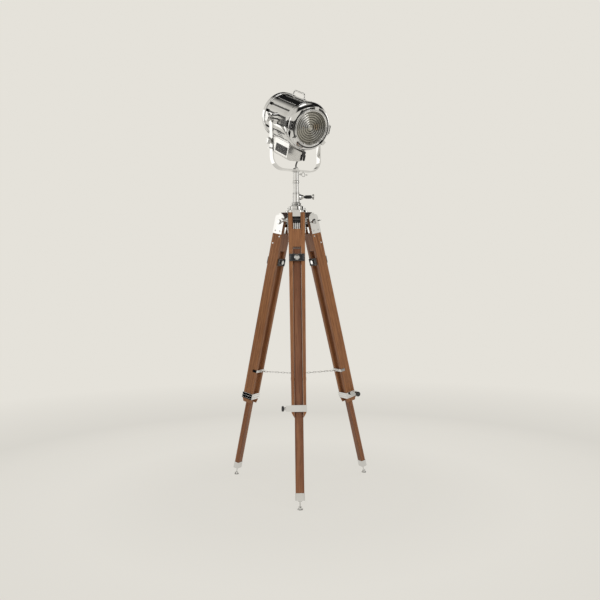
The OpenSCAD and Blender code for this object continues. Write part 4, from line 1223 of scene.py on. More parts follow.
@dataclass
class Yoke(Assembly):
    """The U of flat strap with its socket, its screws and its knobs."""

    shoulder: float = 1256
    bar: float = 1307
    strap_t: float = 5.5
    arm_out: float = 116.75
    brake_down: float = 95
    pan_lock_up: float = 1296
    nut_r: float = 14

    def build(self) -> None:
        """Builds and mounts the whole yoke."""
        self.keep("yoke_strap", "yoke", Slot.CHROME, 0.8, 3)
        self._socket()
        self._pan_lock()
        self._brake_knob()
        self._tilt_knobs()

    def _turned_with_yoke(self) -> Matrix:
        """Returns the mast's frame turned with the yoke."""
        yoke = self.place.yoke()
        return Matrix.Translation((yoke.translation.x, yoke.translation.y, 0)) @ yoke.to_3x3().to_4x4()

    def _socket(self) -> None:
        """Turns the socket with its flared ends, the nut over the strap and the lead's cone."""
        low, bar = self.shoulder + 0.3, self.bar
        outline = [(10.1, low), (14.9, low), (15.3, low + 0.4), (15.3, low + 3), (14.8, low + 3.4),
                   (15.3, low + 3.8), (15.3, low + 8.6), (14.6, low + 9.8), (13, low + 11.8),
                   (13, bar - 6), (13.6, bar - 3.6), (15, bar - 1.6), (17, bar - 0.6), (17, bar - 0.05),
                   (8, bar - 0.05), (8, bar + self.strap_t), (3.7, bar + self.strap_t),
                   (3.7, self.shoulder + 47), (10.1, self.shoulder + 47)]
        socket = Bench.bevelled(Bench.turned("yoke_socket_turned", outline, 96, ring=True), 0.15, 2, 28)
        place = self._turned_with_yoke()
        self.fit(socket, place, "yoke", Slot.CHROME, "yoke_socket")
        top = bar + self.strap_t
        nut = Bench.settle(Fixings.hex_nut("nut", self.nut_r, 6), shifted(0, 0, top))
        cone = Bench.turned("cone", [(3.7, top + 5.9), (10, top + 5.9), (9.6, top + 7), (7.2, top + 11),
                                     (6.4, top + 12), (3.7, top + 12)], 48, ring=True)
        nuts = Bench.joined("yoke_nut", [Bench.smoothed(cone), nut])
        self.fit(nuts, place, "yoke", Slot.CHROME, "yoke_socket")

    def _pan_lock(self) -> None:
        """Makes the pan lock: a stem with a collar and a wire ring to turn it by."""
        stem = Bench.turned("stem", [(0, 10.2), (2.4, 10.2), (3, 10.8), (3, 20), (4.4, 20), (5, 20.6),
                                     (5, 25.4), (4.4, 26), (2.6, 26.6), (2.2, 28.6), (0, 28.6)], 40)
        stub = Bench.turned("stub", [(0, 43.5), (1.8, 43.5), (1.8, 50.4), *arc(0, 53, 3, -62, 90, 12)], 40)
        for part in (stem, stub):
            Bench.settle(part, along("+X"))
        turns = [math.radians(step * 15) for step in range(24)]
        loop = Bench.wire("loop", [Vector((36 + 8 * math.cos(turn), 0, 8 * math.sin(turn))) * MM
                                   for turn in turns], 1.8, closed=True, sides=5)
        screw = Bench.smoothed(Bench.joined("pan_lock_ring_screw", [stem, stub, loop]), 35)
        place = self._turned_with_yoke() @ shifted(0, 0, self.pan_lock_up)
        self.fit(screw, place, "pan_lock", Slot.CHROME, "pan_lock_screw")

    def _brake_knob(self) -> None:
        """Makes the small fluted knob on the left arm, with the stem that it turns."""
        outline = [(0, 0.3), (7.6, 0.3), (8.2, 0.8), (11.8, 5.2), (12.6, 6), (13.6, 6.6), (13.6, 15.2),
                   (12.4, 17.2), (11, 18.1), (8, 18.2), (7.2, 17.4), (0, 17.2)]
        knob = Fixings.knob("knob", outline, 48, 6.8, 15, 0.2, 0.8)
        shank = [(0, -8.4), (3.4, -8.4), (4, -7.8), (4, 0.5), (0, 0.5)]
        stem = Bench.smoothed(Bench.turned("stem", shank, 40))
        whole = Bench.joined("arm_brake_knob_turned", [stem, knob])
        place = self.place.yoke() @ shifted(-self.arm_out, 0, -self.brake_down) @ along("-X")
        self.fit(whole, place, "brake_knob", Slot.CHROME, "arm_brake_knob")

    def _tilt_knobs(self) -> None:
        """Makes the two large fluted knobs that clamp the tilt."""
        outline = [(0, 12.6), (5.1, 12.6), (5.1, 0.3), (10.4, 0.3), (11, 0.9), (11, 3.4), (12.4, 4.2),
                   (15.8, 7.4), (17.6, 8.6), (17.6, 17.2), (16.6, 18.8), (15, 20.1), (11, 20.2),
                   (10.2, 19.6), (6, 19.4), (5.2, 20), (0, 20.1)]
        for side, way in (("left", "-X"), ("right", "+X")):
            knob = Fixings.knob(f"tilt_knob_{side}_turned", outline, 56, 8.8, 17, 0.25, 0.9)
            reach = self.arm_out if side == "right" else -self.arm_out
            place = self.place.yoke() @ shifted(reach, 0, 0) @ along(way)
            self.fit(knob, place, f"{side}_tilt_knob", Slot.CHROME, f"tilt_knob_{side}")


# ------------------------------------------------------------------ the head


@dataclass
class Head(Assembly):
    """The ribbed drum with its rings, its handle, its lower housing and their fixings."""

    ring_r: float = 97.5
    rib_r: float = 94.5
    rim_back: float = -84
    rear_front: float = 98
    drum_rear: float = 120
    handle_from: float = -35
    handle_to: float = 60
    handle_h: float = 25
    housing_half: float = 38
    shell_r: float = 91.2
    drum_bore: float = 88
    ribs: int = 18
    rib_w: float = 26
    panel_seat: float = 0.4
    vent: tuple = (12, 27)
    louvre_turns: tuple = (118, 6.4)
    lamp_way: tuple = (15, 15)
    liner: tuple = (84.6, 85.8)
    liner_ends: tuple = (-60, 110)
    rivet_rows: tuple = ((-50, 66), (-112, -134))

    def build(self) -> None:
        """Builds and mounts the whole head."""
        for node, bevel in (("rear_cover", 0.6), ("front_rim", 0.5), ("trunnions", 0.8)):
            self.keep(node, "head", Slot.CHROME, bevel)
        self.keep("lamp_housing", "head", Slot.CHROME, 0.8, finish=self.finishes.satin)
        self._drum()
        self.keep("vent_panels", "head", Slot.BLACK_STEEL, 0.25)
        self._handle()
        self._screws()
        self._liner()
        self._housing_seams()

    def _drum(self) -> None:
        """Rolls the drum: a tube with its openings, plated near-black as painted shade in the grooves, and
        the polished panels raised on it.
        """
        front, rear = self.rim_back, self.rear_front
        pitch = 360 / self.ribs
        wall = [(self.drum_bore, front), (self.shell_r, front), (self.shell_r, rear), (self.drum_bore, rear)]
        shell = Bench.turned("drum", wall, 144, ring=True)
        Bench.settle(shell, along("+Y"))
        half, floor = self.lamp_way
        lamp_way = Bench.box("lamp_way", (-half, -70, -self.shell_r - 5), (half, 60, -self.shell_r + floor))
        for tool in (self._vents(), lamp_way, self._louvres()):
            Bench.cut(shell, tool)
        # The tube's near-black plate is painted shade in the grooves between the panels.
        self.fit(Bench.smoothed(shell, 30), self.place.head(), "head", Slot.CHROME, "drum_shell",
                 finish=self.finishes.recess_shade)
        reach = math.degrees(math.asin(self.rib_w / 2 / self.rib_r))
        outline = arc(0, 0, self.rib_r, 90 + reach, 90 - reach, 6)
        outline += arc(0, 0, self.shell_r - self.panel_seat, 90 - reach, 90 + reach, 6)
        panel = Bench.slab("panel", outline, rear - front)
        places = [about_drum((index + 0.5) * pitch, front, 0) for index in range(self.ribs)]
        panels = Bench.spread("drum_panels", panel, places)
        for tool in (self._vents(), self._louvres()):
            Bench.cut(panels, tool)
        self.fit(Bench.bevelled(panels, 0.7, 2, 40), self.place.head(), "head", Slot.CHROME, "drum_shell")

    def _vents(self) -> Piece:
        """Returns the tool that cuts the vents, one in each groove at the drum's back."""
        wide, long = self.vent
        middle = self.rear_front - 3 - long / 2
        places = [about_drum(index * 360 / self.ribs, middle, self.shell_r) for index in range(self.ribs)]
        vent = Bench.box("vent", (-wide / 2, -long / 2, -8), (wide / 2, long / 2, 8))
        return Bench.spread("vents", vent, places)

    def _louvres(self) -> Piece:
        """Returns the tool that cuts four long louvres low on each side of the drum."""
        first, step = self.louvre_turns
        places = [about_drum(side * (first + step * index), 0, self.shell_r)
                  for side in (1, -1) for index in range(4)]
        return Bench.spread("louvres", Bench.box("louvre", (-2.25, -48, -8), (2.25, -2, 8)), places)

    def _handle(self) -> None:
        """Bends the wire handle and sets it on its feet."""
        low, high, bend = self.rib_r + 1, self.shell_r + 0.1 + self.handle_h, 13
        a, b = self.handle_from, self.handle_to
        side = [(a, low), (a, high - bend - 4)]
        side += [(a + bend - bend * math.cos(math.radians(t)), high - bend + bend * math.sin(math.radians(t)))
                 for t in (0, 22.5, 45, 67.5, 90)]
        points = side + [((a + b) / 2 - 14, high), ((a + b) / 2 + 14, high)]
        points += [(a + b - y, z) for y, z in reversed(side)]
        wire = Bench.wire("wire", [Vector((0, y, z)) * MM for y, z in points], 2.8)
        foot = Bench.turned("foot", [(0, 0), (6.6, 0), (7, 0.4), (7, 1.6), (6.4, 2.2), (4.6, 2.8), (3.8, 4.6),
                                     (3.4, 7), (2.7, 7.4), (0, 7.4)], 40)
        feet = Bench.spread("feet", foot, [shifted(0, y, self.rib_r + 0.1) for y in (a, b)])
        whole = Bench.smoothed(Bench.joined("carrying_handle", [feet, wire]), 35)
        self.fit(whole, self.place.head(), "head", Slot.CHROME, "top_handle")

    def _screws(self) -> None:
        """Sets slotted screws round both rings, between the ribs, and on the back plate."""
        screw = Fixings.screw("screw", 2.1, 1.1, 0.5)
        places = []
        for ring, y in (("front", self.rim_back - 11), ("rear", self.rear_front + 11)):
            offset = 0 if ring == "front" else 18
            places += [about_drum(index * 72 + offset, y, self.ring_r - 0.1) for index in range(5)]
        places += [about_drum(index * 90 + 45, self.drum_rear - 4.1, 80) @ along("+Y") for index in range(4)]
        screws = Bench.spread("ring_screws", screw, places)
        self.fit(screws, self.place.head(), "head", Slot.CHROME)

    def _liner(self) -> None:
        """Lines the drum behind its vents with a thin black tube, open below for the lamp."""
        (inside, outside), (front, rear) = self.liner, self.liner_ends
        outline = [(inside, front), (outside, front), (outside, rear), (inside, rear)]
        liner = Bench.turned("vent_liner", outline, 96, ring=True)
        Bench.settle(liner, along("+Y"))
        tool = Bench.box("tool", (-46, -80, -100), (46, 70, -58))
        liner = Bench.smoothed(Bench.cut(liner, tool), 30)
        self.fit(liner, self.place.head(), "head", Slot.BLACK_STEEL)

    def _housing_seams(self) -> None:
        """Sets the rivets that hold the housing's panels and its end plates."""
        outline = [(0, -0.2), (1.9, -0.2), (1.9, 0.2), *arc(0, -1.2, 2.2, 45, 90, 5)]
        rivet = Bench.smoothed(Bench.turned("rivet", outline, 24))
        columns, rows = self.rivet_rows
        places = [shifted(side * self.housing_half, y, z) @ along("+X" if side > 0 else "-X")
                  for side in (1, -1) for y in columns for z in rows]
        rivets = Bench.spread("housing_rivets", rivet, places)
        self.fit(rivets, self.place.head(), "head", Slot.CHROME)


@dataclass
class Door(Assembly):
    """The hinged lens door: bezel, stepped lens, its clips, the filter ears and the catch."""

    front: float = -138.4
    lip_r: float = 70
    lens_r: float = 68
    lens_rim: float = 73
    lens_back: float = 124.65
    rings: int = 6
    clip_angles: tuple = (14, 134, 254)
    lip_bead: tuple = (71, 138.2, 2.2)
    rim_bead: tuple = (96.2, 108.6, 1.5)
    hinge_shadow_ribs: tuple = (100.2, 105.4)
    hinge_y: float = -111.3
    stud_at: tuple = (-91.5, -137)

    def build(self) -> None:
        """Builds and mounts the whole door."""
        self._bezel()
        self.keep("filter_ears", "door", Slot.CHROME, 0.6)
        self.keep("door_latch", "latch", Slot.BLACK_STEEL, 0.5)
        self._lens()
        self._clips()
        self._keeper()
        self._hinge_shadow_ribs()

    def _bezel(self) -> None:
        """Cuts a hollow round the bezel's lip, with a near-black ring of painted shade in it and a bead on
        each side.
        """
        turn = self.place.head() @ along("-Y")
        tool = Bench.turned("hollow", [(74.2, 140), (75, 137.4), (76.4, 136.4), (78.4, 135.9), (80.4, 136),
                                       (82.4, 137), (82.4, 140)], 160, ring=True)
        Bench.settle(tool, turn)
        bezel = Bench.cut(Bench.refined("lens_bezel_body", "lens_bezel"), tool)
        self.mount(Bench.bevelled(bezel, 0.4, 2, 32), "door", Slot.CHROME, "lens_bezel")
        self._bead("lip_bead", self.lip_bead)
        # Painted shade: a near-black ring laid in the hollow.
        outline = [(75.4, 137.1), (76.6, 136.6), (78.4, 136.15), (80.4, 136.25), (81.4, 136.7), (81.4, 136.3),
                   (78.4, 135.8), (75.4, 136.6)]
        shade = Bench.turned("hollow_shade", outline, 160, ring=True)
        self.fit(Bench.smoothed(shade, 60), turn, "door", Slot.CHROME, "lens_bezel",
                 finish=self.finishes.recess_shade)
        self._bead("rim_bead", self.rim_bead)

    def _bead(self, name: str, section: tuple) -> None:
        """Lays a round bead on the bezel.

        Args:
            name: The bead's name.
            section: Its radius, its distance from the tilt axis and its wire's radius.
        """
        bead = Bench.smoothed(Bench.turned(name, arc(*section, 0, 337.5, 15), 160, ring=True), 60)
        self.fit(bead, self.place.head() @ along("-Y"), "door", Slot.CHROME, "lens_bezel")

    def _lens(self) -> None:
        """Turns the stepped lens: a flat back, and curved prism rings round a dome in front."""
        centre = self.lens_r / (self.rings + 1) * 1.4
        step = (self.lens_r - centre) / self.rings
        base, peak = 4.5, 7.2
        outline = [(0, 0), (self.lens_rim - 0.4, 0), (self.lens_rim, 0.4), (self.lens_rim, 4.1),
                   (self.lens_rim - 0.4, base)]
        for index in range(self.rings - 1, -1, -1):
            inner = centre + index * step
            for share in (1, 0.75, 0.5, 0.25):
                rise = math.sin(math.radians(90 * (1 - share)))
                outline.append((inner + step * share, base + (peak - base) * rise * 0.94))
            outline.append((inner + 0.35, peak))
            outline.append((inner + 0.1, base + 0.3))
        outline += [(centre * math.cos(math.radians(turn)), base + 3.4 * math.sin(math.radians(turn)))
                    for turn in range(10, 91, 10)]
        lens = Bench.smoothed(Bench.turned("stepped_lens", outline, 160), 38)
        place = self.place.head() @ shifted(0, -self.lens_back, 0) @ along("-Y")
        self.fit(lens, place, "door", Slot.LENS, "fresnel_lens")

    def _clips(self) -> None:
        """Screws three small clips on the lip, which hold the lens in."""
        plate = Bench.box("plate", (-3, -5, 1.9), (3, 3.5, 3))
        head = Bench.settle(Fixings.screw("head", 1.8, 1.2, 0.6), shifted(0, 0.2, 3))
        clip = Bench.joined("clip", [head, Bench.bevelled(plate, 0.35, 2)])
        face = self.place.head() @ shifted(0, self.front, 0) @ along("-Y")
        out = shifted(0, self.lip_r - 0.5, 0)
        places = [face @ Matrix.Rotation(math.radians(angle - 90), 4, "Z") @ out
                  for angle in self.clip_angles]
        self.mount(Bench.spread("lens_clips", clip, places), "door", Slot.CHROME)

    def _keeper(self) -> None:
        """Sets the catch's black keeper left of the lens, with its bracket and two bright studs."""
        body = Bench.bevelled(Bench.box("body", (-96, -139, -17), (-87, -124, 17)), 1.2, 3)
        slot = Bench.box("slot", (-93.5, -141, -12), (-89.5, -136, 12))
        bracket = Bench.bevelled(Bench.box("bracket", (-84.6, -138.5, -16), (-82.2, -131, 13)), 0.5, 2)
        keeper = Bench.joined("latch_keeper", [bracket, Bench.cut(body, slot)])
        self.fit(keeper, self.place.head(), "door", Slot.BLACK_STEEL)
        stud = Bench.turned("stud", [(0, -4), (2.4, -4), (2.4, 0.4), *arc(0, 0.2, 2.4, 5, 90, 6)], 32)
        places = [shifted(*self.stud_at, z) @ along("-Y") for z in (-7, 7)]
        studs = Bench.spread("keeper_studs", Bench.smoothed(stud), places)
        self.fit(studs, self.place.head(), "door", Slot.CHROME)

    def _hinge_shadow_ribs(self) -> None:
        """Adds two dark ribs along the door's hinge, as painted shade on each side of its barrel."""
        places = [shifted(x, self.hinge_y, 0) for x in self.hinge_shadow_ribs]
        # Painted shade: black ribs beside the hinge barrel.
        rib = Bench.bevelled(Bench.box("rib", (-1.1, -0.6, -17), (1.1, 0.6, 17)), 0.4, 2)
        ribs = Bench.spread("hinge_shadow_ribs", rib, places)
        self.fit(ribs, self.place.head(), "door", Slot.BLACK_STEEL)


@dataclass
class Carriage(Assembly):
    """What slides to focus the lamp: the saddle, mirror, lamp holder, bulb and its rod."""

    bulb_y: float = -14
    holder_z: float = -54
    bulb_z: float = -28.9
    coil_turns: int = 9
    coil_r: float = 1.6
    coil_legs: tuple = ((2.4, 8.2), (2.6, 16), (6.4, 23))

    def build(self) -> None:
        """Builds and mounts the whole carriage."""
        self.keep("focus_carriage", "carriage", Slot.STEEL, 0.4)
        self.keep("focus_rod", "carriage", Slot.PHENOLIC, 0.5)
        self.keep("reflector", "carriage", Slot.MIRROR, 0.2)
        self._holder()
        self._bulb()

    def _on_carriage(self, height: float) -> Matrix:
        """Returns the place above the holder's seat at a height in the head's frame."""
        return self.place.head() @ shifted(0, self.bulb_y, height)

    def _holder(self) -> None:
        """Turns the ceramic lamp holder with its cooling grooves."""
        outline = [(0, -8), (7.6, -8), (8, -7.6), (8, 0), (13.2, 0), (14, 0.8)]
        for groove in (4, 8, 12, 16):
            outline += [(14, groove), (13, groove + 0.6), (13, groove + 1.6), (14, groove + 2.2)]
        outline += [(14, 21), (13, 22), (11, 22), (11, 24.6), (10.6, 25), (0, 25)]
        holder = Bench.bevelled(Bench.turned("ceramic_lamp_holder", outline, 56), 0.2, 2)
        self.fit(holder, self._on_carriage(self.holder_z), "carriage", Slot.CERAMIC, "lamp_holder")

    def _bulb(self) -> None:
        """Makes the bulb: a brass cap, a thin glass shell and the coil inside."""
        place = self._on_carriage(self.bulb_z)
        shell = [(8.9, 8.2), (10.4, 10), (14, 13), (16.6, 17.6), (17, 22), (17, 34),
                 *arc(0, 34, 17, 6, 90, 12)]
        inside = [(x * 0.95, 8.3 + (z - 8.3) * 0.975) for x, z in reversed(shell)]
        glass = Bench.smoothed(Bench.turned("bulb_glass", [*shell, *inside, (8.4, 8.2)], 64), 50)
        self.fit(glass, place, "carriage", Slot.BULB, "bulb")
        cap = Bench.turned("bulb_cap", [(0, 0), (8.2, 0), (9, 0.6), (9, 2.4), (8.5, 3), (9, 3.6), (9, 8.1),
                                        (0, 8.1)], 48)
        self.fit(Bench.smoothed(cap), place, "carriage", Slot.BULB, "bulb", finish=self.finishes.brass)
        steps = 8 * self.coil_turns
        r = self.coil_r
        coil = [Vector((-6 + 12 * step / steps, r * math.cos(step * math.pi / 4),
                        26 + r * math.sin(step * math.pi / 4))) * MM for step in range(steps + 1)]
        legs = [Vector((-x, 0, z)) * MM for x, z in self.coil_legs]
        back = [Vector((x, 0, z)) * MM for x, z in reversed(self.coil_legs)]
        filament = Bench.smoothed(Bench.wire("bulb_coil", [*legs, *coil, *back], 0.45, sides=2))
        self.fit(filament, place, "carriage", Slot.BULB, "bulb", finish=self.finishes.filament)


@dataclass
class Lead(Assembly):
    """The short black lead from the housing's floor into the top of the yoke."""

    radius: float = 3.2
    exit: tuple = (22, -46, -152)
    pull: float = 16
    tip: float = 1324.6
    steps: int = 20

    def build(self) -> None:
        head = self.place.head()
        start = head @ (Vector(self.exit) * MM)
        down = head @ ((Vector(self.exit) - Vector((0, 0, self.pull))) * MM)
        axis = self.place.mast().translation
        end = Vector((axis.x, axis.y, self.tip * MM))
        up = end + Vector((0, 0, self.pull * MM))
        path = []
        for step in range(self.steps + 1):
            t = step / self.steps
            path.append((1 - t) ** 3 * start + 3 * t * (1 - t) ** 2 * down
                        + 3 * t * t * (1 - t) * up + t ** 3 * end)
        lead = Bench.smoothed(Bench.wire("lamp_lead", path, self.radius, sides=6), 40)
        lead.data.materials.append(self.finishes.plain[Slot.RUBBER])
        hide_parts("cable_lead")
        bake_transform(lead)


# ------------------------------------------------------------------ the legs


@dataclass
class TripodLeg(Assembly):
    """One leg: rails, hinge plates, wing nut, straps, clamp screw, slider, shoe and foot."""

    leg: Leg = Leg.FRONT
    length: float = 1120.07
    rail_in: float = 16.75
    rail_top_t: float = 17
    plate_t: float = 3
    band_mid: float = -762
    lug_x: float = 16
    lug_out: float = 49.45
    foot_r: float = 12
    guide_z: float = -167
    guide_face: tuple = (26.25, -26.25)
    flutes: tuple = (-44.5, -18.5)
    flute_face: float = 11.85

    def build(self) -> None:
        """Builds and mounts the whole leg."""
        name = f"leg_{self.leg.value}"
        slider = f"{name}_slider"
        wood = self.finishes
        for part, body, slot, bevel, segments, finish in (
                ("rails", name, Slot.RAIL, 1.0, 3, wood.rail[self.leg]),
                ("hinge_plates", name, Slot.CHROME, 0.35, 2, None),
                ("straps", name, Slot.CHROME, 0.45, 2, None),
                ("wing_nut", f"{name}_wing_nut", Slot.CHROME, 0.9, 3, None),
                ("slider", slider, Slot.SLIDER, 0.6, 3, wood.slider[self.leg]),
                ("guide_clamp", slider, Slot.BLACK_STEEL, 0.5, 2, None),
                ("ferrule", slider, Slot.CHROME, 0.5, 3, None)):
            self.keep(f"{name}_{part}", body, slot, bevel, segments, finish)
        for make in (self._clamp_screw, self._guide_knob, self._flute_gaps, self._foot,
                     self._plate_screws):
            make(name)

    def _place(self) -> Matrix:
        """Returns the leg's own frame."""
        return self.place.leg(self.leg.value)

    def _clamp_screw(self, name: str) -> None:
        """Makes the band's clamp: a steel stem with a cone, and a black knob."""
        end = self.lug_out
        place = self._place() @ shifted(self.lug_x, 0, self.band_mid) @ along("-Y")
        stem = Bench.turned("stem", [(0, end - 21.3), (4, end - 21.3), (4, end + 0.3), (6.6, end + 0.3),
                                     (7, end + 0.8), (5.2, end + 6.2), (4, end + 6.4), (4, end + 7.5),
                                     (0, end + 7.5)], 48)
        self.fit(Bench.bevelled(stem, 0.2, 2), place, f"{name}_clamp_screw", Slot.CHROME,
                 f"{name}_clamp_screw")
        outline = [(0, end + 6.2), (6, end + 6.2), (6.8, end + 6.6), (9.6, end + 8), (10.5, end + 9.2),
                   (10.5, end + 13.8), (10, end + 15), (8, end + 16.4), (6, end + 16.4), (5.4, end + 16),
                   (0, end + 15.9)]
        knob = Fixings.knob(f"{name}_clamp_knob", outline, 48, end + 9.3, end + 13.7, 0.15, 0.5)
        self.fit(knob, place, f"{name}_clamp_screw", Slot.PHENOLIC, f"{name}_clamp_screw")

    def _guide_knob(self, name: str) -> None:
        """Sets the guide clamp's polished nuts, a fluted one in front and a plain one behind."""
        front, back = self.guide_face
        outline = [(0, 4.2), (10.6, 4.2), (11.2, 4.8), (11.2, 6), (9.9, 7), (9.9, 12), (8.6, 13.2),
                   (4.4, 13.4), (4, 14.6), (0, 14.8)]
        knob = Fixings.knob("knob", outline, 32, 7.1, 11.9, 0.2, 0.5)
        Bench.settle(knob, shifted(front - 4, 0, 0) @ along("+X"))
        nut = Bench.settle(Fixings.hex_nut("nut", 9.5, 7.4), shifted(back, 0, 0) @ along("-X"))
        both = Bench.joined(f"{name}_guide_nuts", [nut, knob])
        place = self._place() @ shifted(0, 0, self.guide_z)
        self.fit(both, place, f"{name}_slider", Slot.CHROME, f"{name}_guide_clamp")

    def _flute_gaps(self, name: str) -> None:
        """Fills the deep gaps between the spacer's round bars with near-black boxes, as painted shade."""
        low, high = self.flutes
        # Painted shade: dark boxes set in the gaps.
        gap = Bench.box("gap", (-0.8, -1.6, low), (2.5, 1.6, high))
        places = [self._place() @ shifted(self.flute_face, y, 0) for y in (-8.3, 0, 8.3)]
        self.mount(Bench.spread(f"{name}_flute_gaps", gap, places), name, Slot.CHROME,
                   finish=self.finishes.recess_shade)

    def _foot(self, name: str) -> None:
        """Turns the levelling foot."""
        r = self.foot_r
        outline = [(0, 0), (r - 0.5, 0), (r, 0.5), (r, 1.8), (r - 0.6, 2.6), (9.4, 3.4), (8.2, 4.4),
                   (7.6, 6.4), (7.2, 8), (7, 10), (6.6, 10.5), (4.6, 10.5), (5.3, 8), (4.4, 5.4), (0, 3.2)]
        foot = Bench.smoothed(Bench.turned(f"{name}_foot_turned", outline, 64), 30)
        centre = self._place() @ (Vector((0, 0, -self.length)) * MM)
        place = Matrix.Translation((centre.x, centre.y, 0))
        self.fit(foot, place, f"{name}_foot", Slot.CHROME, f"{name}_foot")

    def _plate_screws(self, name: str) -> None:
        """Sets slotted screws on the hinge plates."""
        out = self.rail_in + self.rail_top_t + self.plate_t
        screw = Fixings.screw("screw", 3.4, 1.9, 0.8)
        places = [self._place() @ shifted(x, side * (out - 0.05), -38) @ along("+Y" if side > 0 else "-Y")
                  for side in (1, -1) for x in (-11, 11)]
        self.mount(Bench.spread(f"{name}_plate_screws", screw, places), name, Slot.CHROME)


@dataclass
class Spreader(Assembly):
    """The centre ring and the three chains between the legs."""

    ring_r: float = 14
    ring_wire: float = 1.2
    bracket_down: float = 647
    eye_x: float = -29.2
    eye_r: float = 4
    eye_wire: float = 1.25
    wire: float = 1.0
    inner_half: float = 1.3
    clear: float = 0.3
    about: float = 14

    def build(self) -> None:
        """Builds the ring and the chains, and mounts the ring."""
        eye = self.place.leg("front") @ (Vector((self.eye_x, 0, -self.bracket_down)) * MM)
        centre = self.place.mast().translation
        centre.z = eye.z
        section = arc(self.ring_r, 0, self.ring_wire, 0, 337.5, 15)
        ring = Bench.smoothed(Bench.turned("spreader_ring_turned", section, 72, ring=True), 60)
        self.fit(ring, Matrix.Translation(centre), "stand", Slot.CHROME, "spreader_ring")
        for leg in Leg:
            self._chain(leg, centre)

    def _chain(self, leg: Leg, centre: Vector) -> None:
        """Makes one leg's chain of links, every second one on edge.

        Args:
            leg: The leg that the chain runs to.
            centre: The centre ring's middle, in metres.
        """
        eye = self.place.leg(leg.value) @ (Vector((self.eye_x, 0, -self.bracket_down)) * MM)
        reach = eye - centre
        first = self.ring_r - self.ring_wire - self.clear
        last = reach.length / MM - self.eye_r + self.eye_wire + self.clear
        count = 2 * round((last - first) / (2 * self.about))
        pitch = (last - first - self.clear) / count
        inner = pitch + self.clear
        r = self.inner_half + self.wire
        straight = (inner - 2 * self.inner_half) / 2
        turns = [math.radians(angle) for angle in (-90, -60, -30, 0, 30, 60, 90)]
        end = [Vector((straight + r * math.cos(turn), r * math.sin(turn), 0)) for turn in turns]
        outline = [point * MM for point in [*end, *[Vector((-p.x, -p.y, 0)) for p in end]]]
        model = Bench.wire("link", outline, self.wire, closed=True, sides=3)
        model.data.update()
        x = reach.normalized()
        z = Vector((0, 0, 1))
        line = Place.matrix(centre, x, z.cross(x), z)
        places = [line @ shifted(first + inner / 2 + index * pitch, 0, 0)
                  @ Matrix.Rotation(math.pi / 2 * (index % 2 == 0), 4, "X") for index in range(count)]
        chain = Bench.smoothed(Bench.spread(f"leg_{leg.value}_chain_links", model, places), 50)
        chain.data.materials.append(self.finishes.plain[Slot.CHROME])
        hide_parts(f"leg_{leg.value}_chain")
        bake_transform(chain)
        LOG.info("%s, %d links", chain.name, count)


# ------------------------------------------------------------------ the studio


@dataclass(frozen=True)
class Panel:
    """A soft lamp or a dark board: where it stands, what it faces and its size, in metres."""

    name: str
    place: tuple
    aim: tuple
    width: float
    height: float
    radiance: float = 0.0
    shown: bool = True

    def turn(self) -> tuple:
        """Returns the rotation that points the panel's -Z at its aim."""
        return (Vector(self.aim) - Vector(self.place)).to_track_quat("-Z", "Y").to_euler()


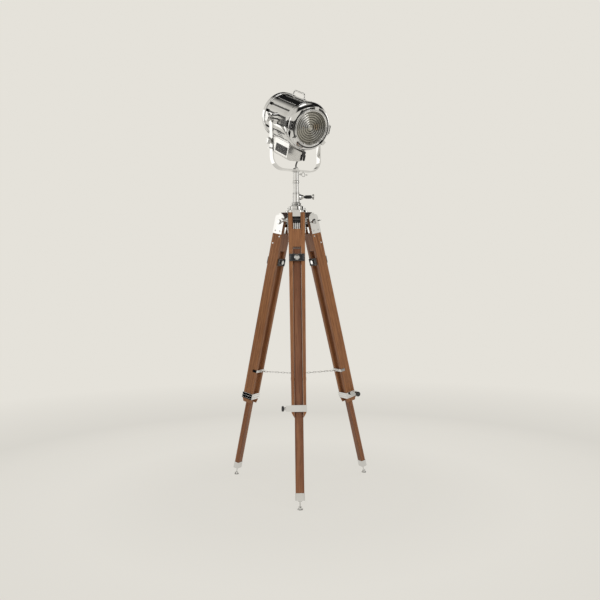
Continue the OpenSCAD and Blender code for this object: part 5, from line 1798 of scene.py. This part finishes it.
@dataclass
class Studio:
    """The camera, the soft lights, the dark flags and the plain pale floor."""

    backdrop: Colour = (0.783, 0.759, 0.701, 1)
    camera_at: tuple = (0.010, -2.6385, 0.797)
    lens: float = 39.0
    roll: float = 0.78
    shift_down: float = -0.0113
    soft_light: tuple = ((0.80, 0.80, 0.80, 1), 0.62)
    ceiling_colour: Colour = (0.012, 0.012, 0.012, 1)
    board_colour: Colour = (0.008, 0.008, 0.008, 1)
    floor_colour: Colour = (0.76, 0.74, 0.69, 1)
    floor_r: float = 9
    cove: tuple = (0.9, 1.72, 3.3, 0.125)
    paper_end: tuple = (-1.35, -1.75, 0.94)
    open_floor: tuple = (0.5, 1.4, 0.78, 1.0)
    lamps: tuple = (
        Panel("key", (1.75, -2.0, 1.7), (0, 0, 1.2), 0.45, 2.4, 1.75),
        Panel("side", (-2.6, -1.0, 1.6), (0, 0, 1.0), 0.7, 2.2, 0.62),
        Panel("right_back", (2.4, 1.7, 1.7), (0, 0, 1.3), 0.5, 2.2, 1.5),
        Panel("left_back", (-2.3, 1.5, 1.4), (0, 0, 1.2), 0.7, 2.4, 0.70),
        Panel("front", (0.3, -3.6, 1.7), (0, 0, 0.8), 2.4, 2.2, 1.6, shown=False),
        Panel("top", (-0.2, -0.1, 3.9), (0, 0, 1.2), 0.9, 0.9, 1.6),
    )
    flags: tuple = (
        Panel("strip", (0.66, -2.35, 1.3), (0, 0.08, 1.3), 0.52, 3.0),
        Panel("low_left", (-1.9, -0.2, 0.25), (0, 0.08, 1.5), 1.8, 0.7),
        Panel("left", (-2.3, 0.25, 1.5), (0, 0.08, 1.5), 0.35, 2.6),
        Panel("right", (2.2, 0.1, 1.4), (0, 0.08, 1.5), 0.9, 2.6),
        Panel("back", (-0.75, 2.4, 1.7), (0, 0.08, 1.5), 0.30, 2.6),
    )

    def camera(self) -> None:
        """Places the camera where the photograph was taken from."""
        bpy.ops.object.camera_add(location=self.camera_at, rotation=(math.radians(90), 0, 0))
        camera = bpy.context.object
        camera.rotation_euler = (math.radians(90), math.radians(self.roll), 0)
        camera.data.lens = self.lens
        camera.data.sensor_width = 36
        camera.data.shift_y = self.shift_down
        camera.data.clip_start = 0.01
        camera.data.dof.use_dof = False
        bpy.context.scene.camera = camera

    @staticmethod
    def _seen(sheet: Sheet) -> Socket:
        """Returns 1 for the rays that see the backdrop: those of the camera, of metal and of glass."""
        path = sheet.put("ShaderNodeLightPath").outputs
        metal = sheet.math("MAXIMUM", path["Is Camera Ray"], path["Is Glossy Ray"])
        return sheet.math("MAXIMUM", metal, path["Is Transmission Ray"])

    def world(self) -> None:
        """Lights the lamp evenly, and shows metal the backdrop with a dark ceiling."""
        world = bpy.data.worlds.new("studio")
        bpy.context.scene.world = world
        world.use_nodes = True
        sheet = Sheet(world.node_tree)
        way = sheet.put("ShaderNodeSeparateXYZ", {
            "Vector": sheet.put("ShaderNodeTexCoord").outputs["Generated"]}).outputs
        ceiling = sheet.math("MINIMUM", sheet.ramp(way["Z"], 0.50, 0.60, 0, 1),
                             sheet.ramp(way["Z"], 0.96, 0.90, 0.45, 1))
        ceiling = sheet.math("MULTIPLY", ceiling, sheet.ramp(way["X"], -0.50, -0.34, 0.12, 1))
        dark = sheet.math("MULTIPLY", ceiling, sheet.put("ShaderNodeLightPath").outputs["Is Glossy Ray"])
        colour, strength = self.soft_light
        light = sheet.put("ShaderNodeBackground", {"Color": colour, "Strength": strength})
        shown = sheet.put("ShaderNodeBackground", {
            "Color": sheet.blend(dark, self.backdrop, self.ceiling_colour), "Strength": 1.0})
        mixed = sheet.put("ShaderNodeMixShader", {0: self._seen(sheet), 1: light.outputs[0],
                                                  2: shown.outputs[0]})
        sheet.put("ShaderNodeOutputWorld", {"Surface": mixed.outputs[0]})

    def floor(self) -> None:
        """Lays the plain floor, which fades into the backdrop past a soft, slightly darker cove.

        It ends in front of the camera as far as the metal can see, as a roll of paper does.
        """
        bpy.ops.object.select_all(action="DESELECT")
        bpy.ops.mesh.primitive_circle_add(vertices=96, radius=self.floor_r, fill_type="NGON",
                                          location=(0, 0, -0.0005))
        floor = Bench.named("studio_floor")
        material = bpy.data.materials.new("studio_floor")
        material.use_nodes = True
        sheet = Sheet(material.node_tree)
        where = sheet.put("ShaderNodeTexCoord").outputs["Object"]
        away = sheet.put("ShaderNodeVectorMath", {0: where}, operation="LENGTH").outputs["Value"]
        near, middle, far, depth = self.cove
        cove = sheet.math("MINIMUM", sheet.ramp(away, near, middle, 0, depth),
                          sheet.ramp(away, middle, far, depth, 0))
        matt = sheet.put("ShaderNodeBsdfDiffuse", {"Color": self.floor_colour})
        start, end, darkness = self.paper_end
        forward = sheet.put("ShaderNodeSeparateXYZ", {"Vector": where}).outputs["Y"]
        dim = sheet.ramp(forward, start, end, 0, darkness)
        paper_end = sheet.math("MULTIPLY", dim, sheet.put("ShaderNodeLightPath").outputs["Is Glossy Ray"])
        glow = sheet.put("ShaderNodeEmission", {
            "Color": self.backdrop,
            "Strength": sheet.math("SUBTRACT", 1.0, sheet.math("MAXIMUM", cove, paper_end))})
        share = sheet.math("MULTIPLY", self._seen(sheet), sheet.ramp(away, *self.open_floor))
        mixed = sheet.put("ShaderNodeMixShader", {0: share, 1: matt.outputs[0], 2: glow.outputs[0]})
        sheet.put("ShaderNodeOutputMaterial", {"Surface": mixed.outputs[0]})
        floor.data.materials.append(material)

    def lights(self) -> None:
        """Sets the soft lamps round the lamp."""
        for panel in self.lamps:
            bpy.ops.object.light_add(type="AREA", location=panel.place)
            lamp = bpy.context.object
            lamp.name = f"studio_{panel.name}"
            lamp.data.shape = "RECTANGLE"
            lamp.data.size = panel.width
            lamp.data.size_y = panel.height
            lamp.data.energy = panel.radiance * math.pi * panel.width * panel.height
            lamp.rotation_euler = panel.turn()
            lamp.visible_glossy = panel.shown

    def dark_flags(self) -> None:
        """Stands dark boards round the lamp, which only its polished metal shows."""
        material = bpy.data.materials.new("studio_flag")
        material.use_nodes = True
        sheet = Sheet(material.node_tree)
        matt = sheet.put("ShaderNodeBsdfDiffuse", {"Color": self.board_colour})
        sheet.put("ShaderNodeOutputMaterial", {"Surface": matt.outputs[0]})
        for panel in self.flags:
            bpy.ops.object.select_all(action="DESELECT")
            bpy.ops.mesh.primitive_plane_add(size=1, location=panel.place, rotation=panel.turn())
            flag = Bench.named(f"studio_flag_{panel.name}")
            flag.scale = (panel.width, panel.height, 1)
            flag.data.materials.append(material)
            for rays in ("camera", "diffuse", "transmission", "shadow", "volume_scatter"):
                setattr(flag, f"visible_{rays}", False)

    def build(self) -> None:
        """Builds the whole studio."""
        self.camera()
        self.world()
        self.floor()
        self.lights()
        self.dark_flags()
        bpy.context.scene.view_settings.view_transform = "Standard"


# ------------------------------------------------------------------ putting it together


def main() -> None:
    logging.basicConfig(level=logging.INFO, format="%(name)s: %(message)s")
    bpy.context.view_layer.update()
    bpy.ops.object.select_all(action="DESELECT")
    place = Place(frame["joints"])
    studio = Studio()
    studio.build()
    finishes = Finishes(place)
    assemblies: list[Assembly] = [Lead(place, finishes), Crown(place, finishes), Mast(place, finishes),
                                  Yoke(place, finishes), Head(place, finishes), Door(place, finishes),
                                  Carriage(place, finishes), Spreader(place, finishes)]
    assemblies += [TripodLeg(place, finishes, leg=leg) for leg in Leg]
    for assembly in assemblies:
        assembly.build()


if __name__ == "__main__":
    main()
